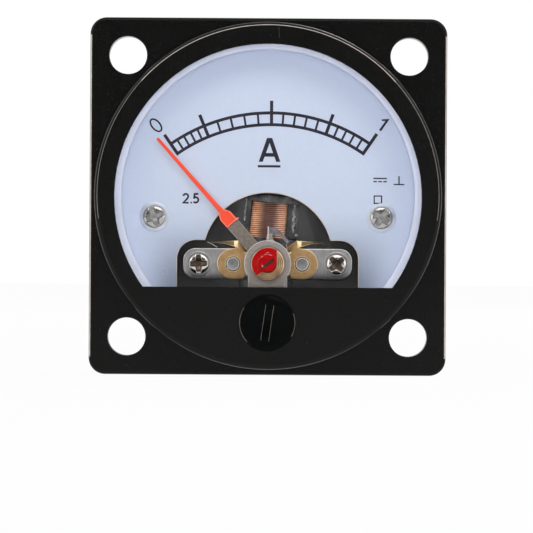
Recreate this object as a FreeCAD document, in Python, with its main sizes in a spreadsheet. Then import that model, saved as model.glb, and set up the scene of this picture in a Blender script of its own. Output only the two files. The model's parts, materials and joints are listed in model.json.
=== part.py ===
import FreeCAD
import Part
import math
import os
import re
import Sketcher
from FreeCAD import Placement, Rotation, Vector

# An analog panel meter: a square-flanged front cover with a round window, a dial, and a
# moving-magnet movement with two fixed coils, in a round case that goes through the panel.
#
# The row's frame has +X to the right of someone who reads the dial, +Z up, and the reader at -Y.
# Its origin is the middle of the flange, on the face that rests on the panel.
# Each piece is drawn face on: x to the right, y up, and depth forward from the panel face.

# Driving sizes in millimetres, angles in degrees
SIZES = {
    # Front cover
    "flange_margin": 0.9,
    "flange_thickness": 3.0,
    "flange_corner": 2.3,
    "flange_edge": 0.4,
    "panel_hole_inset": 5.3,
    "panel_hole_radius": 2.65,
    "bezel_wall": 1.8,
    "bezel_rise": 7.0,
    "bezel_edge": 0.6,
    "lip_thickness": 1.0,
    "lip_width": 2.8,
    "opening_drop": 0.25,
    "apron_margin": 1.07,
    "apron_thickness": 2.6,
    "apron_setback": 0.82,
    "cavity_fit": 0.1,
    # Window
    "window_thickness": 1.6,
    "window_fit": 0.3,
    "window_skirt": 1.55,
    "window_gap": 0.1,
    # Rear case
    "barrel_radius": 22.2,
    "case_wall": 1.6,
    "case_depth": 28.0,
    "case_floor": 2.4,
    "case_edge": 1.2,
    "spigot_depth": 2.0,
    "spigot_step": 0.4,
    "shoulder_gap": 0.3,
    "bead_radius": 0.65,
    "bead_height": 1.0,
    "bead_play": 0.1,
    "post_setback": 2.2,
    "post_radius": 2.4,
    "post_angle_upper": 45.0,
    "post_angle_lower": 60.0,
    "post_bore_depth": 6.0,
    # Dial
    "dial_thickness": 0.6,
    "dial_setback": 0.3,
    "dial_notch_half_width": 12.68,
    "dial_notch_rise": 3.29,
    "dial_notch_corner": 2.6,
    "dial_arch_radius": 9.1,
    "dial_arch_rise": 0.85,
    "dial_screw_inset": 4.38,
    "dial_screw_rise": 6.55,
    # Printed scale
    "print_thickness": 0.03,
    "arc_centre_shift": 0.4,
    "arc_centre_drop": 3.35,
    "arc_setback": 9.8,
    "arc_band": 2.0,
    "arc_line": 0.27,
    "tick_width": 0.25,
    "main_tick_width": 0.36,
    "main_tick_overshoot": 1.3,
    "angle_at_start": 34.8,
    "angle_at_quarter": 22.1,
    "angle_at_middle": 0.2,
    "angle_at_three_quarters": 20.3,
    "angle_at_end": 34.7,
    # Chassis
    "chassis_gap": 3.0,
    "chassis_thickness": 2.2,
    "chassis_fit": 0.3,
    "bar_pad_height": 1.6,
    "pad_radius": 2.0,
    "opening_clearance": 0.1,
    # Support bar and bridge
    "pivot_margin": 11.15,
    "bar_length": 23.7,
    "bar_width": 4.35,
    "bar_thickness": 1.0,
    "bar_corner": 1.7,
    "bar_bore": 1.4,
    "bar_screw_offset": 9.68,
    "bridge_sheet": 0.5,
    "bridge_height": 2.8,
    "riser_offset": 3.35,
    "riser_half_width": 1.6,
    "bridge_plate_radius": 3.2,
    "ear_offset": 4.85,
    "ear_radius": 2.1,
    "rivet_radius": 0.9,
    "rivet_shank": 0.7,
    "rivet_height": 0.5,
    "horn_reach": 8.0,
    "horn_rise": 3.3,
    "horn_root": 4.55,
    "horn_depth": 0.95,
    "horn_droop": 0.25,
    "horn_tip": 0.15,
    "shoulder_offset": 4.0,
    "throat_offset": 2.7,
    "throat_rise": 2.3,
    # Front bearing
    "bush_radius": 2.45,
    "bush_collar": 0.42,
    "bush_spigot": 1.6,
    "washer_radius": 2.6,
    "washer_thickness": 0.13,
    "bearing_nut_radius": 2.35,
    "bearing_nut_height": 0.65,
    "bearing_screw_radius": 1.05,
    "bearing_screw_proud": 0.4,
    "bearing_slot": 0.4,
    "bearing_slot_depth": 0.35,
    "bearing_slot_angle": 33.7,
    "lacquer_thickness": 0.12,
    "lacquer_right": 1.27,
    "jewel_radius": 0.6,
    "jewel_height": 0.6,
    "jewel_cup": 0.34,
    # Zero lever
    "lever_clearance": 0.06,
    "lever_sheet": 0.3,
    "lever_ring_radius": 3.3,
    "lever_ring_bore": 2.5,
    "tongue_width": 5.5,
    "tongue_length": 10.4,
    "fork_play": 0.1,
    "fork_depth": 2.4,
    "tab_width": 1.05,
    "tab_shift": 0.32,
    "tab_reach": 4.2,
    "fin_width": 0.25,
    "fin_shift": 0.08,
    "fin_reach": 5.27,
    "anchor_width": 0.42,
    "anchor_offset": 2.85,
    "anchor_rise": 3.25,
    # Moving system
    "spindle_radius": 0.3,
    "spindle_tip": 0.3,
    "tip_depth": 0.1,
    "arm_gap": 1.2,
    "arm_sheet": 0.25,
    "arm_hub_radius": 1.2,
    "arm_width": 1.85,
    "arm_reach": 7.5,
    "tail_width": 1.0,
    "tail_reach": 2.9,
    "weight_radius": 0.8,
    "weight_offset": 2.35,
    "weight_height": 1.4,
    "pointer_sheet": 0.25,
    "pointer_setback": 3.16,
    "pointer_neck": 10.4,
    "pointer_neck_width": 0.63,
    "pointer_tip_width": 0.42,
    "paddle_width": 1.9,
    "paddle_overlap": 0.9,
    "pointer_angle": 41.4,
    "collet_radius": 0.6,
    "magnet_radius": 2.2,
    "magnet_length": 3.0,
    "magnet_offset": 2.0,
    # Hairspring
    "spring_gap": 0.25,
    "spring_width": 0.4,
    "spring_strip": 0.1,
    "spring_inner": 0.75,
    "spring_pitch": 0.36,
    "spring_turns": 6.0,
    # Bobbin, coils and rear bearing
    "bobbin_width": 7.1,
    "bobbin_depth": 9.0,
    "bobbin_end": 1.0,
    "coil_start": 3.65,
    "coil_length": 5.0,
    "coil_width": 5.2,
    "coil_depth": 7.0,
    "coil_pitch": 0.2,
    "coil_groove": 0.06,
    "coil_tilt": 5.5,
    "core_width": 3.0,
    "core_depth": 4.8,
    "well_radius": 2.8,
    "well_floor": 1.8,
    "lug_width": 1.2,
    "lug_half_height": 2.0,
    "lug_thickness": 1.0,
    "cup_wall": 0.25,
    "cup_fit": 0.05,
    "cup_height": 4.8,
    "rear_bush_radius": 2.0,
    "rear_bush_flange": 0.4,
    "rear_bush_shank": 1.4,
    "rear_screw_radius": 0.9,
    "rear_screw_proud": 1.2,
    "rear_nut_radius": 1.8,
    "rear_nut_height": 0.7,
    # Zero adjuster
    "zero_distance": 8.15,
    "zero_head_radius": 3.85,
    "zero_head_fit": 0.12,
    "zero_head_proud": 0.15,
    "zero_shaft_radius": 1.95,
    "zero_shaft_fit": 0.08,
    "zero_shaft_tail": 0.95,
    "zero_slot_width": 1.18,
    "zero_slot_length": 5.1,
    "zero_slot_depth": 0.8,
    "zero_slot_angle": 8.0,
    "zero_pin_throw": 1.0,
    "zero_pin_radius": 0.55,
    "zero_pin_overlap": 0.25,
    "clip_radius": 3.0,
    "clip_thickness": 0.5,
    "clip_gap": 0.05,
    "clip_groove": 0.35,
    # Terminals
    "terminal_offset": 11.5,
    "stud_radius": 1.5,
    "stud_core": 1.25,
    "stud_runout": 0.3,
    "stud_tail": 11.5,
    "stud_chamfer": 0.3,
    "stud_head_flats": 5.5,
    "stud_head_height": 2.2,
    "terminal_boss_radius": 4.2,
    "terminal_boss_height": 0.8,
    "terminal_nut_flats": 5.5,
    "terminal_nut_height": 2.4,
    "tag_thickness": 0.4,
    "tag_radius": 2.8,
    "tag_width": 2.2,
    "tag_reach": 5.6,
    "mark_size": 3.0,
    "mark_width": 0.8,
    "mark_height": 0.3,
    "mark_rise": 7.5,
    "lead_radius": 0.4,
    "lead_straight": 7.0,
    "lead_end_x": 2.4,
    "lead_end_rise": 2.6,
    "lead_end_straight": 2.6,
    # Small screws
    "screw_thread": 0.8,
    "screw_shank_length": 4.0,
    "bar_screw_head": 1.45,
    "bar_screw_height": 0.85,
    "dial_screw_head": 2.0,
    "dial_screw_height": 0.95,
    "chassis_screw_head": 1.5,
    "chassis_screw_height": 0.8,
    "head_crown": 0.35,
    "recess_width": 0.5,
    "recess_reach": 0.95,
    "recess_depth": 0.45,
}

DIVISIONS_PER_QUARTER = 5

# Radii and heights that the pieces share
CASE_INSIDE = "(barrel_radius - case_wall)"
CAVITY_RADIUS = "(barrel_radius + cavity_fit)"
SPIGOT_RADIUS = "(barrel_radius - spigot_step)"
BEZEL_RADIUS = f"({CAVITY_RADIUS} + bezel_wall)"
FLANGE_SIDE = f"(2 * ({BEZEL_RADIUS} + flange_margin))"
PANEL_HOLE = f"({FLANGE_SIDE} / 2 - panel_hole_inset)"
WINDOW_RADIUS = f"({CAVITY_RADIUS} - window_fit)"
SKIRT_INSIDE = f"({WINDOW_RADIUS} - window_skirt)"
DIAL_RADIUS = "(barrel_radius - dial_setback)"
CHASSIS_RADIUS = f"({CASE_INSIDE} - chassis_fit)"
POST_CIRCLE = f"({CASE_INSIDE} - post_setback)"
PIVOT_Y = f"(pivot_margin - {CASE_INSIDE})"
ZERO_Y = f"({PIVOT_Y} - zero_distance)"
OPENING_CHORD = f"({ZERO_Y} + zero_head_radius + apron_margin)"
APRON_TOP = f"({OPENING_CHORD} - apron_setback)"
DIAL_SCREW_X = f"({CHASSIS_RADIUS} - dial_screw_inset)"
DIAL_SCREW_Y = f"({PIVOT_Y} + dial_screw_rise)"
ARC_CENTRE = ("arc_centre_shift", f"({PIVOT_Y} - arc_centre_drop)")
ARC_RADIUS = f"({DIAL_RADIUS} - {ARC_CENTRE[1]} - arc_setback)"
ARC_INSIDE = f"({ARC_RADIUS} - arc_band)"
POINTER_CHORD = f"sqrt({SKIRT_INSIDE} ^ 2 - ({PIVOT_Y} * sin(pointer_angle)) ^ 2)"
POINTER_LENGTH = f"({POINTER_CHORD} - {PIVOT_Y} * cos(pointer_angle) - pointer_setback)"

# Depths that the pieces share, forward from the panel face
BEZEL_FRONT = "(flange_thickness + bezel_rise)"
LIP_REAR = f"({BEZEL_FRONT} - lip_thickness)"
APRON_REAR = f"({BEZEL_FRONT} - apron_thickness)"
DIAL_REAR = "spigot_depth"
DIAL_FRONT = "(spigot_depth + dial_thickness)"
CHASSIS_FRONT = "(spigot_depth - chassis_gap)"
CHASSIS_REAR = f"({CHASSIS_FRONT} - chassis_thickness)"
BAR_REAR = f"({CHASSIS_FRONT} + bar_pad_height)"
BAR_FRONT = f"({BAR_REAR} + bar_thickness)"
FOOT_FRONT = f"({BAR_FRONT} + bridge_sheet)"
PLATE_REAR = f"({BAR_FRONT} + bridge_height)"
PLATE_FRONT = f"({PLATE_REAR} + bridge_sheet)"
COLLAR_FRONT = f"({PLATE_FRONT} + bush_collar)"
WASHER_FRONT = f"({COLLAR_FRONT} + washer_thickness)"
BEARING_NUT_FRONT = f"({WASHER_FRONT} + bearing_nut_height)"
LEVER_REAR = f"({PLATE_FRONT} + lever_clearance)"
LEVER_FRONT = f"({LEVER_REAR} + lever_sheet)"
ARM_REAR = f"({FOOT_FRONT} + arm_gap)"
ARM_FRONT = f"({ARM_REAR} + arm_sheet)"
SPRING_REAR = f"({ARM_FRONT} + spring_gap)"
SPRING_FRONT = f"({SPRING_REAR} + spring_width)"
BOBBIN_REAR = f"({BAR_REAR} - bobbin_depth)"
BOBBIN_MIDDLE = f"({BAR_REAR} - bobbin_depth / 2)"
BOBBIN_HALF = "(coil_start + coil_length + bobbin_end)"
WELL_FLOOR = f"({BOBBIN_REAR} + well_floor)"
REAR_BUSH_FRONT = f"({WELL_FLOOR} + rear_bush_flange)"
FRONT_TIP = f"({PLATE_REAR} + tip_depth)"
REAR_TIP = f"({REAR_BUSH_FRONT} - tip_depth)"
CASE_BACK = "(-case_depth)"
CASE_FLOOR = "(case_floor - case_depth)"
TERMINAL_SEAT = f"({CASE_BACK} - terminal_boss_height)"
ZERO_SHAFT_REAR = f"({APRON_REAR} - zero_shaft_tail)"

doc = FreeCAD.newDocument("panel_meter")
sheet = doc.addObject("Spreadsheet::Sheet", "Sizes")
pieces = []


def fill_sheet():
    """Writes each driving size into the sheet as a plain number with its name as alias."""
    for row, (name, number) in enumerate(SIZES.items(), start=1):
        sheet.set(f"A{row}", name)
        sheet.set(f"B{row}", str(number))
        sheet.setAlias(f"B{row}", name)
    doc.recompute()


def ref(text):
    """Turns the size names in an expression into references to the sheet."""
    return re.sub(r"[a-z_]+", lambda m: f"Sizes.{m[0]}" if m[0] in SIZES else m[0], str(text))


def value(text):
    """The number that an expression of sizes stands for now."""
    return float(sheet.evalExpression(ref(text)))


def bind(thing, prop, text):
    """Ties a property to an expression of sizes."""
    thing.setExpression(prop, ref(text))


def stand(thing, x="0", y="0", depth="0", turn="0"):
    """Places a face-on shape: its own z points at the reader, and turn is anticlockwise."""
    spin = Rotation(Vector(0, 0, 1), value(turn))
    thing.Placement = Placement(Vector(), Rotation(Vector(1, 0, 0), 90).multiply(spin))
    bind(thing, "Placement.Base.x", x)
    bind(thing, "Placement.Base.y", f"-({depth})")
    bind(thing, "Placement.Base.z", y)
    return thing


def swing(thing, angle):
    """Turns a finished shape clockwise about the pivot's axis."""
    centre = Vector(0, 0, value(PIVOT_Y))
    thing.Placement = Placement(Vector(), Rotation(Vector(0, 1, 0), value(angle)), centre)
    return thing


def piece(thing, name):
    """Lists a finished sub-part under its node's name."""
    thing.Label = name
    pieces.append(thing)
    return thing


def cylinder(radius, length, x="0", y="0", depth="0"):
    """A round bar from a depth forward."""
    thing = doc.addObject("Part::Cylinder", "Cylinder")
    bind(thing, "Radius", radius)
    bind(thing, "Height", length)
    return stand(thing, x, y, depth)


def cone(rear_radius, front_radius, length, x="0", y="0", depth="0"):
    """A tapered round bar from a depth forward."""
    thing = doc.addObject("Part::Cone", "Cone")
    bind(thing, "Radius1", rear_radius)
    bind(thing, "Radius2", front_radius)
    bind(thing, "Height", length)
    return stand(thing, x, y, depth)


def box(width, height, length, x="0", y="0", depth="0", turn="0"):
    """A block about x and y, from a depth forward."""
    thing = doc.addObject("Part::Box", "Box")
    bind(thing, "Length", width)
    bind(thing, "Width", height)
    bind(thing, "Height", length)
    return stand(thing, f"({x}) - ({width}) / 2", f"({y}) - ({height}) / 2", depth, turn)


def fuse(*parts):
    """The union of several shapes."""
    thing = doc.addObject("Part::MultiFuse", "Fuse")
    thing.Shapes = list(parts)
    return thing


def cut(base, *tools):
    """A shape with others taken out of it."""
    thing = doc.addObject("Part::Cut", "Cut")
    thing.Base = base
    thing.Tool = tools[0] if len(tools) == 1 else fuse(*tools)
    return thing


def common(*parts):
    """What several shapes share."""
    thing = doc.addObject("Part::MultiCommon", "Common")
    thing.Shapes = list(parts)
    return thing


def tube(radius, bore, length, x="0", y="0", depth="0"):
    """A round ring from a depth forward."""
    return cut(cylinder(radius, length, x, y, depth), cylinder(bore, length, x, y, depth))


def swung(thing, angle):
    """A copy of a shape, turned clockwise about the pivot's axis."""
    turned = doc.addObject("Part::Compound", "Swung")
    turned.Links = [thing]
    return swing(turned, angle)


def new_body(name):
    """An empty body for a piece built from sketches."""
    return doc.addObject("PartDesign::Body", name)


def new_sketch(body, depth="0", plane="XY_Plane"):
    """An empty sketch on one of a body's own planes, a depth in front of it."""
    sketch = body.newObject("Sketcher::SketchObject", "Sketch")
    origin = next(item for item in body.Origin.OriginFeatures if item.Role == plane)
    sketch.AttachmentSupport = (origin, [""])
    sketch.MapMode = "FlatFace"
    bind(sketch, "AttachmentOffset.Base.z", depth)
    return sketch


def hold(sketch, kind, *where):
    """Adds a sketch constraint whose last value is an expression of sizes."""
    number = sketch.addConstraint(Sketcher.Constraint(kind, *where[:-1], value(where[-1])))
    sketch.setExpression(f"Constraints[{number}]", ref(where[-1]))


def pin_point(sketch, edge, point, x, y):
    """Holds a point of a sketch at x and y from the origin."""
    hold(sketch, "DistanceX", -1, 1, edge, point, x)
    hold(sketch, "DistanceY", -1, 1, edge, point, y)


def add_circle(sketch, radius, x="0", y="0"):
    """Draws a circle."""
    centre = Vector(value(x), value(y), 0)
    edge = sketch.addGeometry(Part.Circle(centre, Vector(0, 0, 1), value(radius)), False)
    hold(sketch, "Radius", edge, radius)
    pin_point(sketch, edge, 3, x, y)


def add_polygon(sketch, corners):
    """Draws a closed outline through its corners."""
    spots = [Vector(value(x), value(y), 0) for x, y in corners]
    lines = [Part.LineSegment(a, b) for a, b in zip(spots, spots[1:] + spots[:1])]
    first = sketch.addGeometry(lines, False)[0]
    for place, (x, y) in enumerate(corners):
        edge = first + place
        following = first + (place + 1) % len(corners)
        sketch.addConstraint(Sketcher.Constraint("Coincident", edge, 2, following, 1))
        pin_point(sketch, edge, 1, x, y)


def add_rectangle(sketch, width, height, x="0", y="0"):
    """Draws an upright rectangle about x and y."""
    left, right = f"({x}) - ({width}) / 2", f"({x}) + ({width}) / 2"
    low, high = f"({y}) - ({height}) / 2", f"({y}) + ({height}) / 2"
    add_polygon(sketch, [(left, low), (right, low), (right, high), (left, high)])


def add_segment(sketch, radius, chord, upper, y="0"):
    """Draws the part of a circle about (0, y) that lies above or below the height chord."""
    size, low = value(radius), value(chord) - value(y)
    reach = (size ** 2 - low ** 2) ** 0.5
    right, left = Vector(reach, low + value(y), 0), Vector(-reach, low + value(y), 0)
    top = Vector(0, value(y) + (size if upper else -size), 0)
    arc = sketch.addGeometry(Part.Arc(right, top, left), False)
    line = sketch.addGeometry(Part.LineSegment(left, right), False)
    ends = (2, 1) if upper else (1, 2)
    sketch.addConstraint(Sketcher.Constraint("Coincident", arc, ends[0], line, 1))
    sketch.addConstraint(Sketcher.Constraint("Coincident", arc, ends[1], line, 2))
    sketch.addConstraint(Sketcher.Constraint("Horizontal", line))
    hold(sketch, "Radius", arc, radius)
    pin_point(sketch, arc, 3, "0", y)
    hold(sketch, "DistanceY", -1, 1, line, 1, chord)


def extrude(body, kind, sketch, length, forward=True):
    """Adds a Pad or a Pocket that runs forward or back from its sketch."""
    feature = body.newObject(f"PartDesign::{kind}", kind)
    feature.Profile = sketch
    bind(feature, "Length", length)
    feature.Reversed = forward == (kind == "Pocket")
    doc.recompute()
    return feature


def turn_round(body, kind, sketch):
    """Adds a Revolution or a Groove about the body's own axis."""
    feature = body.newObject(f"PartDesign::{kind}", kind)
    feature.Profile = sketch
    feature.ReferenceAxis = (sketch, ["V_Axis"])
    feature.Angle = 360
    doc.recompute()
    return feature


def round_edges(body, radius, wanted):
    """Rounds the edges of a body whose middle point and edge pass a test."""
    before = body.Tip
    names = []
    for number, edge in enumerate(before.Shape.Edges, start=1):
        middle = edge.valueAt((edge.FirstParameter + edge.LastParameter) / 2)
        if wanted(middle, edge):
            names.append(f"Edge{number}")
    feature = body.newObject("PartDesign::Fillet", "Fillet")
    feature.Base = (before, names)
    bind(feature, "Radius", radius)
    doc.recompute()
    return feature


def near(a, b):
    """Whether two lengths are the same."""
    return abs(a - b) < 0.001


def upright(edge):
    """Whether an edge is straight and runs along depth."""
    return edge.Curve.TypeId == "Part::GeomLine" and near(abs(edge.Curve.Direction.z), 1)


def prism(corners, length, depth="0"):
    """A flat plate with straight sides, from a depth forward."""
    body = new_body("Plate")
    sketch = new_sketch(body)
    add_polygon(sketch, corners)
    extrude(body, "Pad", sketch, length)
    return stand(body, depth=depth)


def from_pivot(corners):
    """Moves corners that are measured from the pivot to their place on the face."""
    return [(x, f"({y}) + {PIVOT_Y}") for x, y in corners]


def hexagon(flats, x="0", y="0"):
    """The corners of a hexagon about x and y, from its width over flats."""
    reach = f"({flats}) / (2 * cos(30))"
    return [(f"({x}) + {reach} * cos({a})", f"({y}) + {reach} * sin({a})") for a in range(0, 360, 60)]


def screw(name, x, y, seat, head_radius, head_height, crossed, turn="0"):
    """A small screw with a crowned head, and a cross recess or a slot."""
    body = new_body(name)
    outline = new_sketch(body, plane="XZ_Plane")
    shoulder = f"({head_height} - head_crown)"
    add_polygon(outline, [
        ("0", "-screw_shank_length"),
        ("screw_thread", "-screw_shank_length"),
        ("screw_thread", "0"),
        (head_radius, "0"),
        (head_radius, shoulder),
        (f"{head_radius} - head_crown", head_height),
        ("0", head_height),
    ])
    turn_round(body, "Revolution", outline)
    recess = new_sketch(body, head_height)
    half = "recess_width / 2"
    if crossed:
        corners = []
        for right, up in ((1, 1), (-1, 1), (-1, -1), (1, -1)):
            spots = [("recess_reach", half), (half, half), (half, "recess_reach")]
            spots = spots if right * up > 0 else spots[::-1]
            corners += [(f"{right} * ({a})", f"{up} * ({b})") for a, b in spots]
        add_polygon(recess, corners)
    else:
        add_rectangle(recess, f"2 * {head_radius} + recess_width", "recess_width")
    extrude(body, "Pocket", recess, "recess_depth", forward=False)
    return piece(stand(body, x, y, seat, turn), name)


def make_front_cover():
    """The moulded cover: square flange, round bezel, lip round the window, and apron."""
    body = new_body("front_cover")
    flange = new_sketch(body)
    add_rectangle(flange, FLANGE_SIDE, FLANGE_SIDE)
    extrude(body, "Pad", flange, "flange_thickness")
    round_edges(body, "flange_corner", lambda spot, edge: upright(edge))
    front = value("flange_thickness")
    round_edges(body, "flange_edge", lambda spot, edge: near(spot.z, front))
    bezel = new_sketch(body, "flange_thickness / 2")
    add_circle(bezel, BEZEL_RADIUS)
    extrude(body, "Pad", bezel, f"{BEZEL_FRONT} - flange_thickness / 2")
    face = value(BEZEL_FRONT)
    round_edges(body, "bezel_edge", lambda spot, edge: near(spot.z, face))
    cavity = new_sketch(body)
    add_circle(cavity, CAVITY_RADIUS)
    extrude(body, "Pocket", cavity, LIP_REAR)
    apron = new_sketch(body, APRON_REAR)
    add_segment(apron, f"({CAVITY_RADIUS} + cavity_fit)", APRON_TOP, upper=False)
    extrude(body, "Pad", apron, f"{LIP_REAR} - {APRON_REAR} + lip_thickness / 2")
    opening = new_sketch(body, BEZEL_FRONT)
    opening_radius = f"({BEZEL_RADIUS} - lip_width)"
    add_segment(opening, opening_radius, OPENING_CHORD, upper=True, y="-opening_drop")
    extrude(body, "Pocket", opening, "lip_thickness", forward=False)
    holes = new_sketch(body)
    for right, up in ((1, 1), (-1, 1), (-1, -1), (1, -1)):
        add_circle(holes, "panel_hole_radius", f"{right} * {PANEL_HOLE}", f"{up} * {PANEL_HOLE}")
    extrude(body, "Pocket", holes, "flange_thickness")
    head = new_sketch(body, BEZEL_FRONT)
    add_circle(head, "zero_head_radius + zero_head_fit", y=ZERO_Y)
    extrude(body, "Pocket", head, "lip_thickness", forward=False)
    shaft = new_sketch(body, BEZEL_FRONT)
    add_circle(shaft, "zero_shaft_radius + zero_shaft_fit", y=ZERO_Y)
    extrude(body, "Pocket", shaft, "apron_thickness", forward=False)
    groove = new_sketch(body, plane="XZ_Plane")
    add_circle(groove, "bead_radius + bead_play", SPIGOT_RADIUS, "bead_height")
    turn_round(body, "Groove", groove)
    return piece(stand(body), "front_cover")


def make_window():
    """The clear window: a plate with one flat side, and a skirt that stands on the dial."""
    body = new_body("window")
    plate = new_sketch(body, DIAL_FRONT)
    flat = f"{APRON_TOP} + window_gap"
    add_segment(plate, WINDOW_RADIUS, flat, upper=True)
    extrude(body, "Pad", plate, f"{LIP_REAR} - {DIAL_FRONT}")
    inside = new_sketch(body, DIAL_FRONT)
    add_segment(inside, SKIRT_INSIDE, f"{flat} - window_skirt", upper=True)
    extrude(body, "Pocket", inside, f"{LIP_REAR} - window_thickness - {DIAL_FRONT}")
    return piece(stand(body), "window")


def post_spots():
    """The places of the four chassis posts in the case."""
    for side in (1, -1):
        for angle, up in (("post_angle_upper", 1), ("post_angle_lower", -1)):
            yield f"{side} * {POST_CIRCLE} * cos({angle})", f"{up} * {POST_CIRCLE} * sin({angle})"


def terminal_sides():
    """The sides of the two terminals, as the dial's reader sees them."""
    return (("left", -1), ("right", 1))


def make_rear_case():
    """The round case behind the panel, with chassis posts, terminal bosses and marks."""
    body = new_body("rear_case")
    outline = new_sketch(body, plane="XZ_Plane")
    add_polygon(outline, [
        ("0", CASE_BACK),
        ("barrel_radius", CASE_BACK),
        ("barrel_radius", "-shoulder_gap"),
        (SPIGOT_RADIUS, "-shoulder_gap"),
        (SPIGOT_RADIUS, "spigot_depth"),
        (CASE_INSIDE, "spigot_depth"),
        (CASE_INSIDE, CASE_FLOOR),
        ("0", CASE_FLOOR),
    ])
    turn_round(body, "Revolution", outline)
    back, outer = value(CASE_BACK), value("barrel_radius")
    at_rim = lambda spot, edge: near(spot.z, back) and near(Vector(spot.x, spot.y).Length, outer)
    round_edges(body, "case_edge", at_rim)
    bead = new_sketch(body, plane="XZ_Plane")
    add_circle(bead, "bead_radius", SPIGOT_RADIUS, "bead_height")
    turn_round(body, "Revolution", bead)
    posts = new_sketch(body, CASE_FLOOR)
    for x, y in post_spots():
        add_circle(posts, "post_radius", x, y)
    extrude(body, "Pad", posts, f"{CHASSIS_REAR} - {CASE_FLOOR}")
    bores = new_sketch(body, CHASSIS_REAR)
    for x, y in post_spots():
        add_circle(bores, "screw_thread", x, y)
    extrude(body, "Pocket", bores, "post_bore_depth", forward=False)
    for name, side in terminal_sides():
        boss = new_sketch(body, CASE_BACK)
        add_circle(boss, "terminal_boss_radius", f"{side} * terminal_offset")
        extrude(body, "Pad", boss, "terminal_boss_height", forward=False)
        bore = new_sketch(body, TERMINAL_SEAT)
        add_circle(bore, "stud_radius", f"{side} * terminal_offset")
        extrude(body, "Pocket", bore, f"case_floor + terminal_boss_height")
        bar = new_sketch(body, CASE_BACK)
        add_rectangle(bar, "mark_size", "mark_width", f"{side} * terminal_offset", "mark_rise")
        extrude(body, "Pad", bar, "mark_height", forward=False)
    upright_bar = new_sketch(body, CASE_BACK)
    add_rectangle(upright_bar, "mark_width", "mark_size", "-terminal_offset", "mark_rise")
    extrude(body, "Pad", upright_bar, "mark_height", forward=False)
    return piece(stand(body), "rear_case")


def make_dial_plate():
    """The painted dial with its arched notch over the movement."""
    body = new_body("dial_plate")
    disc = new_sketch(body, DIAL_REAR)
    add_circle(disc, DIAL_RADIUS)
    extrude(body, "Pad", disc, "dial_thickness")
    notch = new_sketch(body, DIAL_REAR)
    half = "dial_notch_half_width"
    bottom = f"-{DIAL_RADIUS}"
    top = f"({PIVOT_Y} + dial_notch_rise)"
    add_polygon(notch, [
        (f"-{half}", bottom),
        (half, bottom),
        (half, top),
        (f"-{half}", top),
    ])
    extrude(body, "Pocket", notch, "dial_thickness")
    level = value(top)
    round_edges(body, "dial_notch_corner", lambda spot, edge: upright(edge) and near(spot.y, level))
    arch = new_sketch(body, DIAL_REAR)
    add_circle(arch, "dial_arch_radius", y=f"{PIVOT_Y} + dial_arch_rise")
    extrude(body, "Pocket", arch, "dial_thickness")
    holes = new_sketch(body, DIAL_REAR)
    for side in (-1, 1):
        add_circle(holes, "screw_thread", f"{side} * {DIAL_SCREW_X}", DIAL_SCREW_Y)
    extrude(body, "Pocket", holes, "dial_thickness")
    return piece(stand(body), "dial_plate")


def scale_angles():
    """Each graduation's angle, clockwise from straight up, and whether it is a main one."""
    marks = [
        "-angle_at_start",
        "-angle_at_quarter",
        "angle_at_middle",
        "angle_at_three_quarters",
        "angle_at_end",
    ]
    for first, last in zip(marks, marks[1:]):
        for step in range(DIVISIONS_PER_QUARTER):
            share = step / DIVISIONS_PER_QUARTER
            yield f"({first}) + {share} * (({last}) - ({first}))", step == 0
    yield marks[-1], True


def on_scale(radius, angle, across="0"):
    """A point of the scale: out from its centre at an angle, and across that line."""
    x = f"{ARC_CENTRE[0]} + {radius} * sin({angle}) + {across} * cos({angle})"
    y = f"{ARC_CENTRE[1]} + {radius} * cos({angle}) - {across} * sin({angle})"
    return x, y


def make_dial_scale():
    """The printed scale: two arcs and the graduations, as thin raised print."""
    arcs = []
    for radius in (ARC_RADIUS, ARC_INSIDE):
        outer, inner = f"({radius} + arc_line / 2)", f"({radius} - arc_line / 2)"
        arcs.append(tube(outer, inner, "print_thickness", *ARC_CENTRE, DIAL_FRONT))
    far = f"({ARC_RADIUS} * 2)"
    wedge = [ARC_CENTRE, on_scale(far, "angle_at_end"), on_scale(far, "(-angle_at_start)")]
    sector = prism(wedge, "print_thickness", DIAL_FRONT)
    ticks = []
    for angle, main in scale_angles():
        half = "main_tick_width / 2" if main else "tick_width / 2"
        reach = f"({ARC_RADIUS} + main_tick_overshoot)" if main else ARC_RADIUS
        corners = [
            on_scale(ARC_INSIDE, angle, f"-{half}"),
            on_scale(reach, angle, f"-{half}"),
            on_scale(reach, angle, half),
            on_scale(ARC_INSIDE, angle, half),
        ]
        ticks.append(prism(corners, "print_thickness", DIAL_FRONT))
    return piece(fuse(common(fuse(*arcs), sector), *ticks), "dial_scale")


def make_chassis():
    """The moulded frame behind the dial, with dial posts, bar pads and screw holes."""
    solid = [cylinder(CHASSIS_RADIUS, "chassis_thickness", depth=CHASSIS_REAR)]
    gone = []
    for side in (-1, 1):
        dial_spot = (f"{side} * {DIAL_SCREW_X}", DIAL_SCREW_Y)
        bar_spot = (f"{side} * bar_screw_offset", PIVOT_Y)
        solid.append(cylinder("pad_radius", "chassis_gap", *dial_spot, CHASSIS_FRONT))
        solid.append(cylinder("pad_radius", "bar_pad_height", *bar_spot, CHASSIS_FRONT))
        for spot, height in ((dial_spot, "chassis_gap"), (bar_spot, "bar_pad_height")):
            gone.append(cylinder("screw_thread", f"{height} + chassis_thickness", *spot, CHASSIS_REAR))
    for x, y in post_spots():
        gone.append(cylinder("screw_thread", "chassis_thickness", x, y, CHASSIS_REAR))
    width = "bobbin_width + 2 * opening_clearance"
    height = f"2 * {BOBBIN_HALF} + 2 * opening_clearance"
    well = box(width, height, "chassis_thickness", "0", PIVOT_Y, CHASSIS_REAR)
    return piece(cut(fuse(*solid), swung(well, "coil_tilt"), *gone), "chassis")


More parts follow.
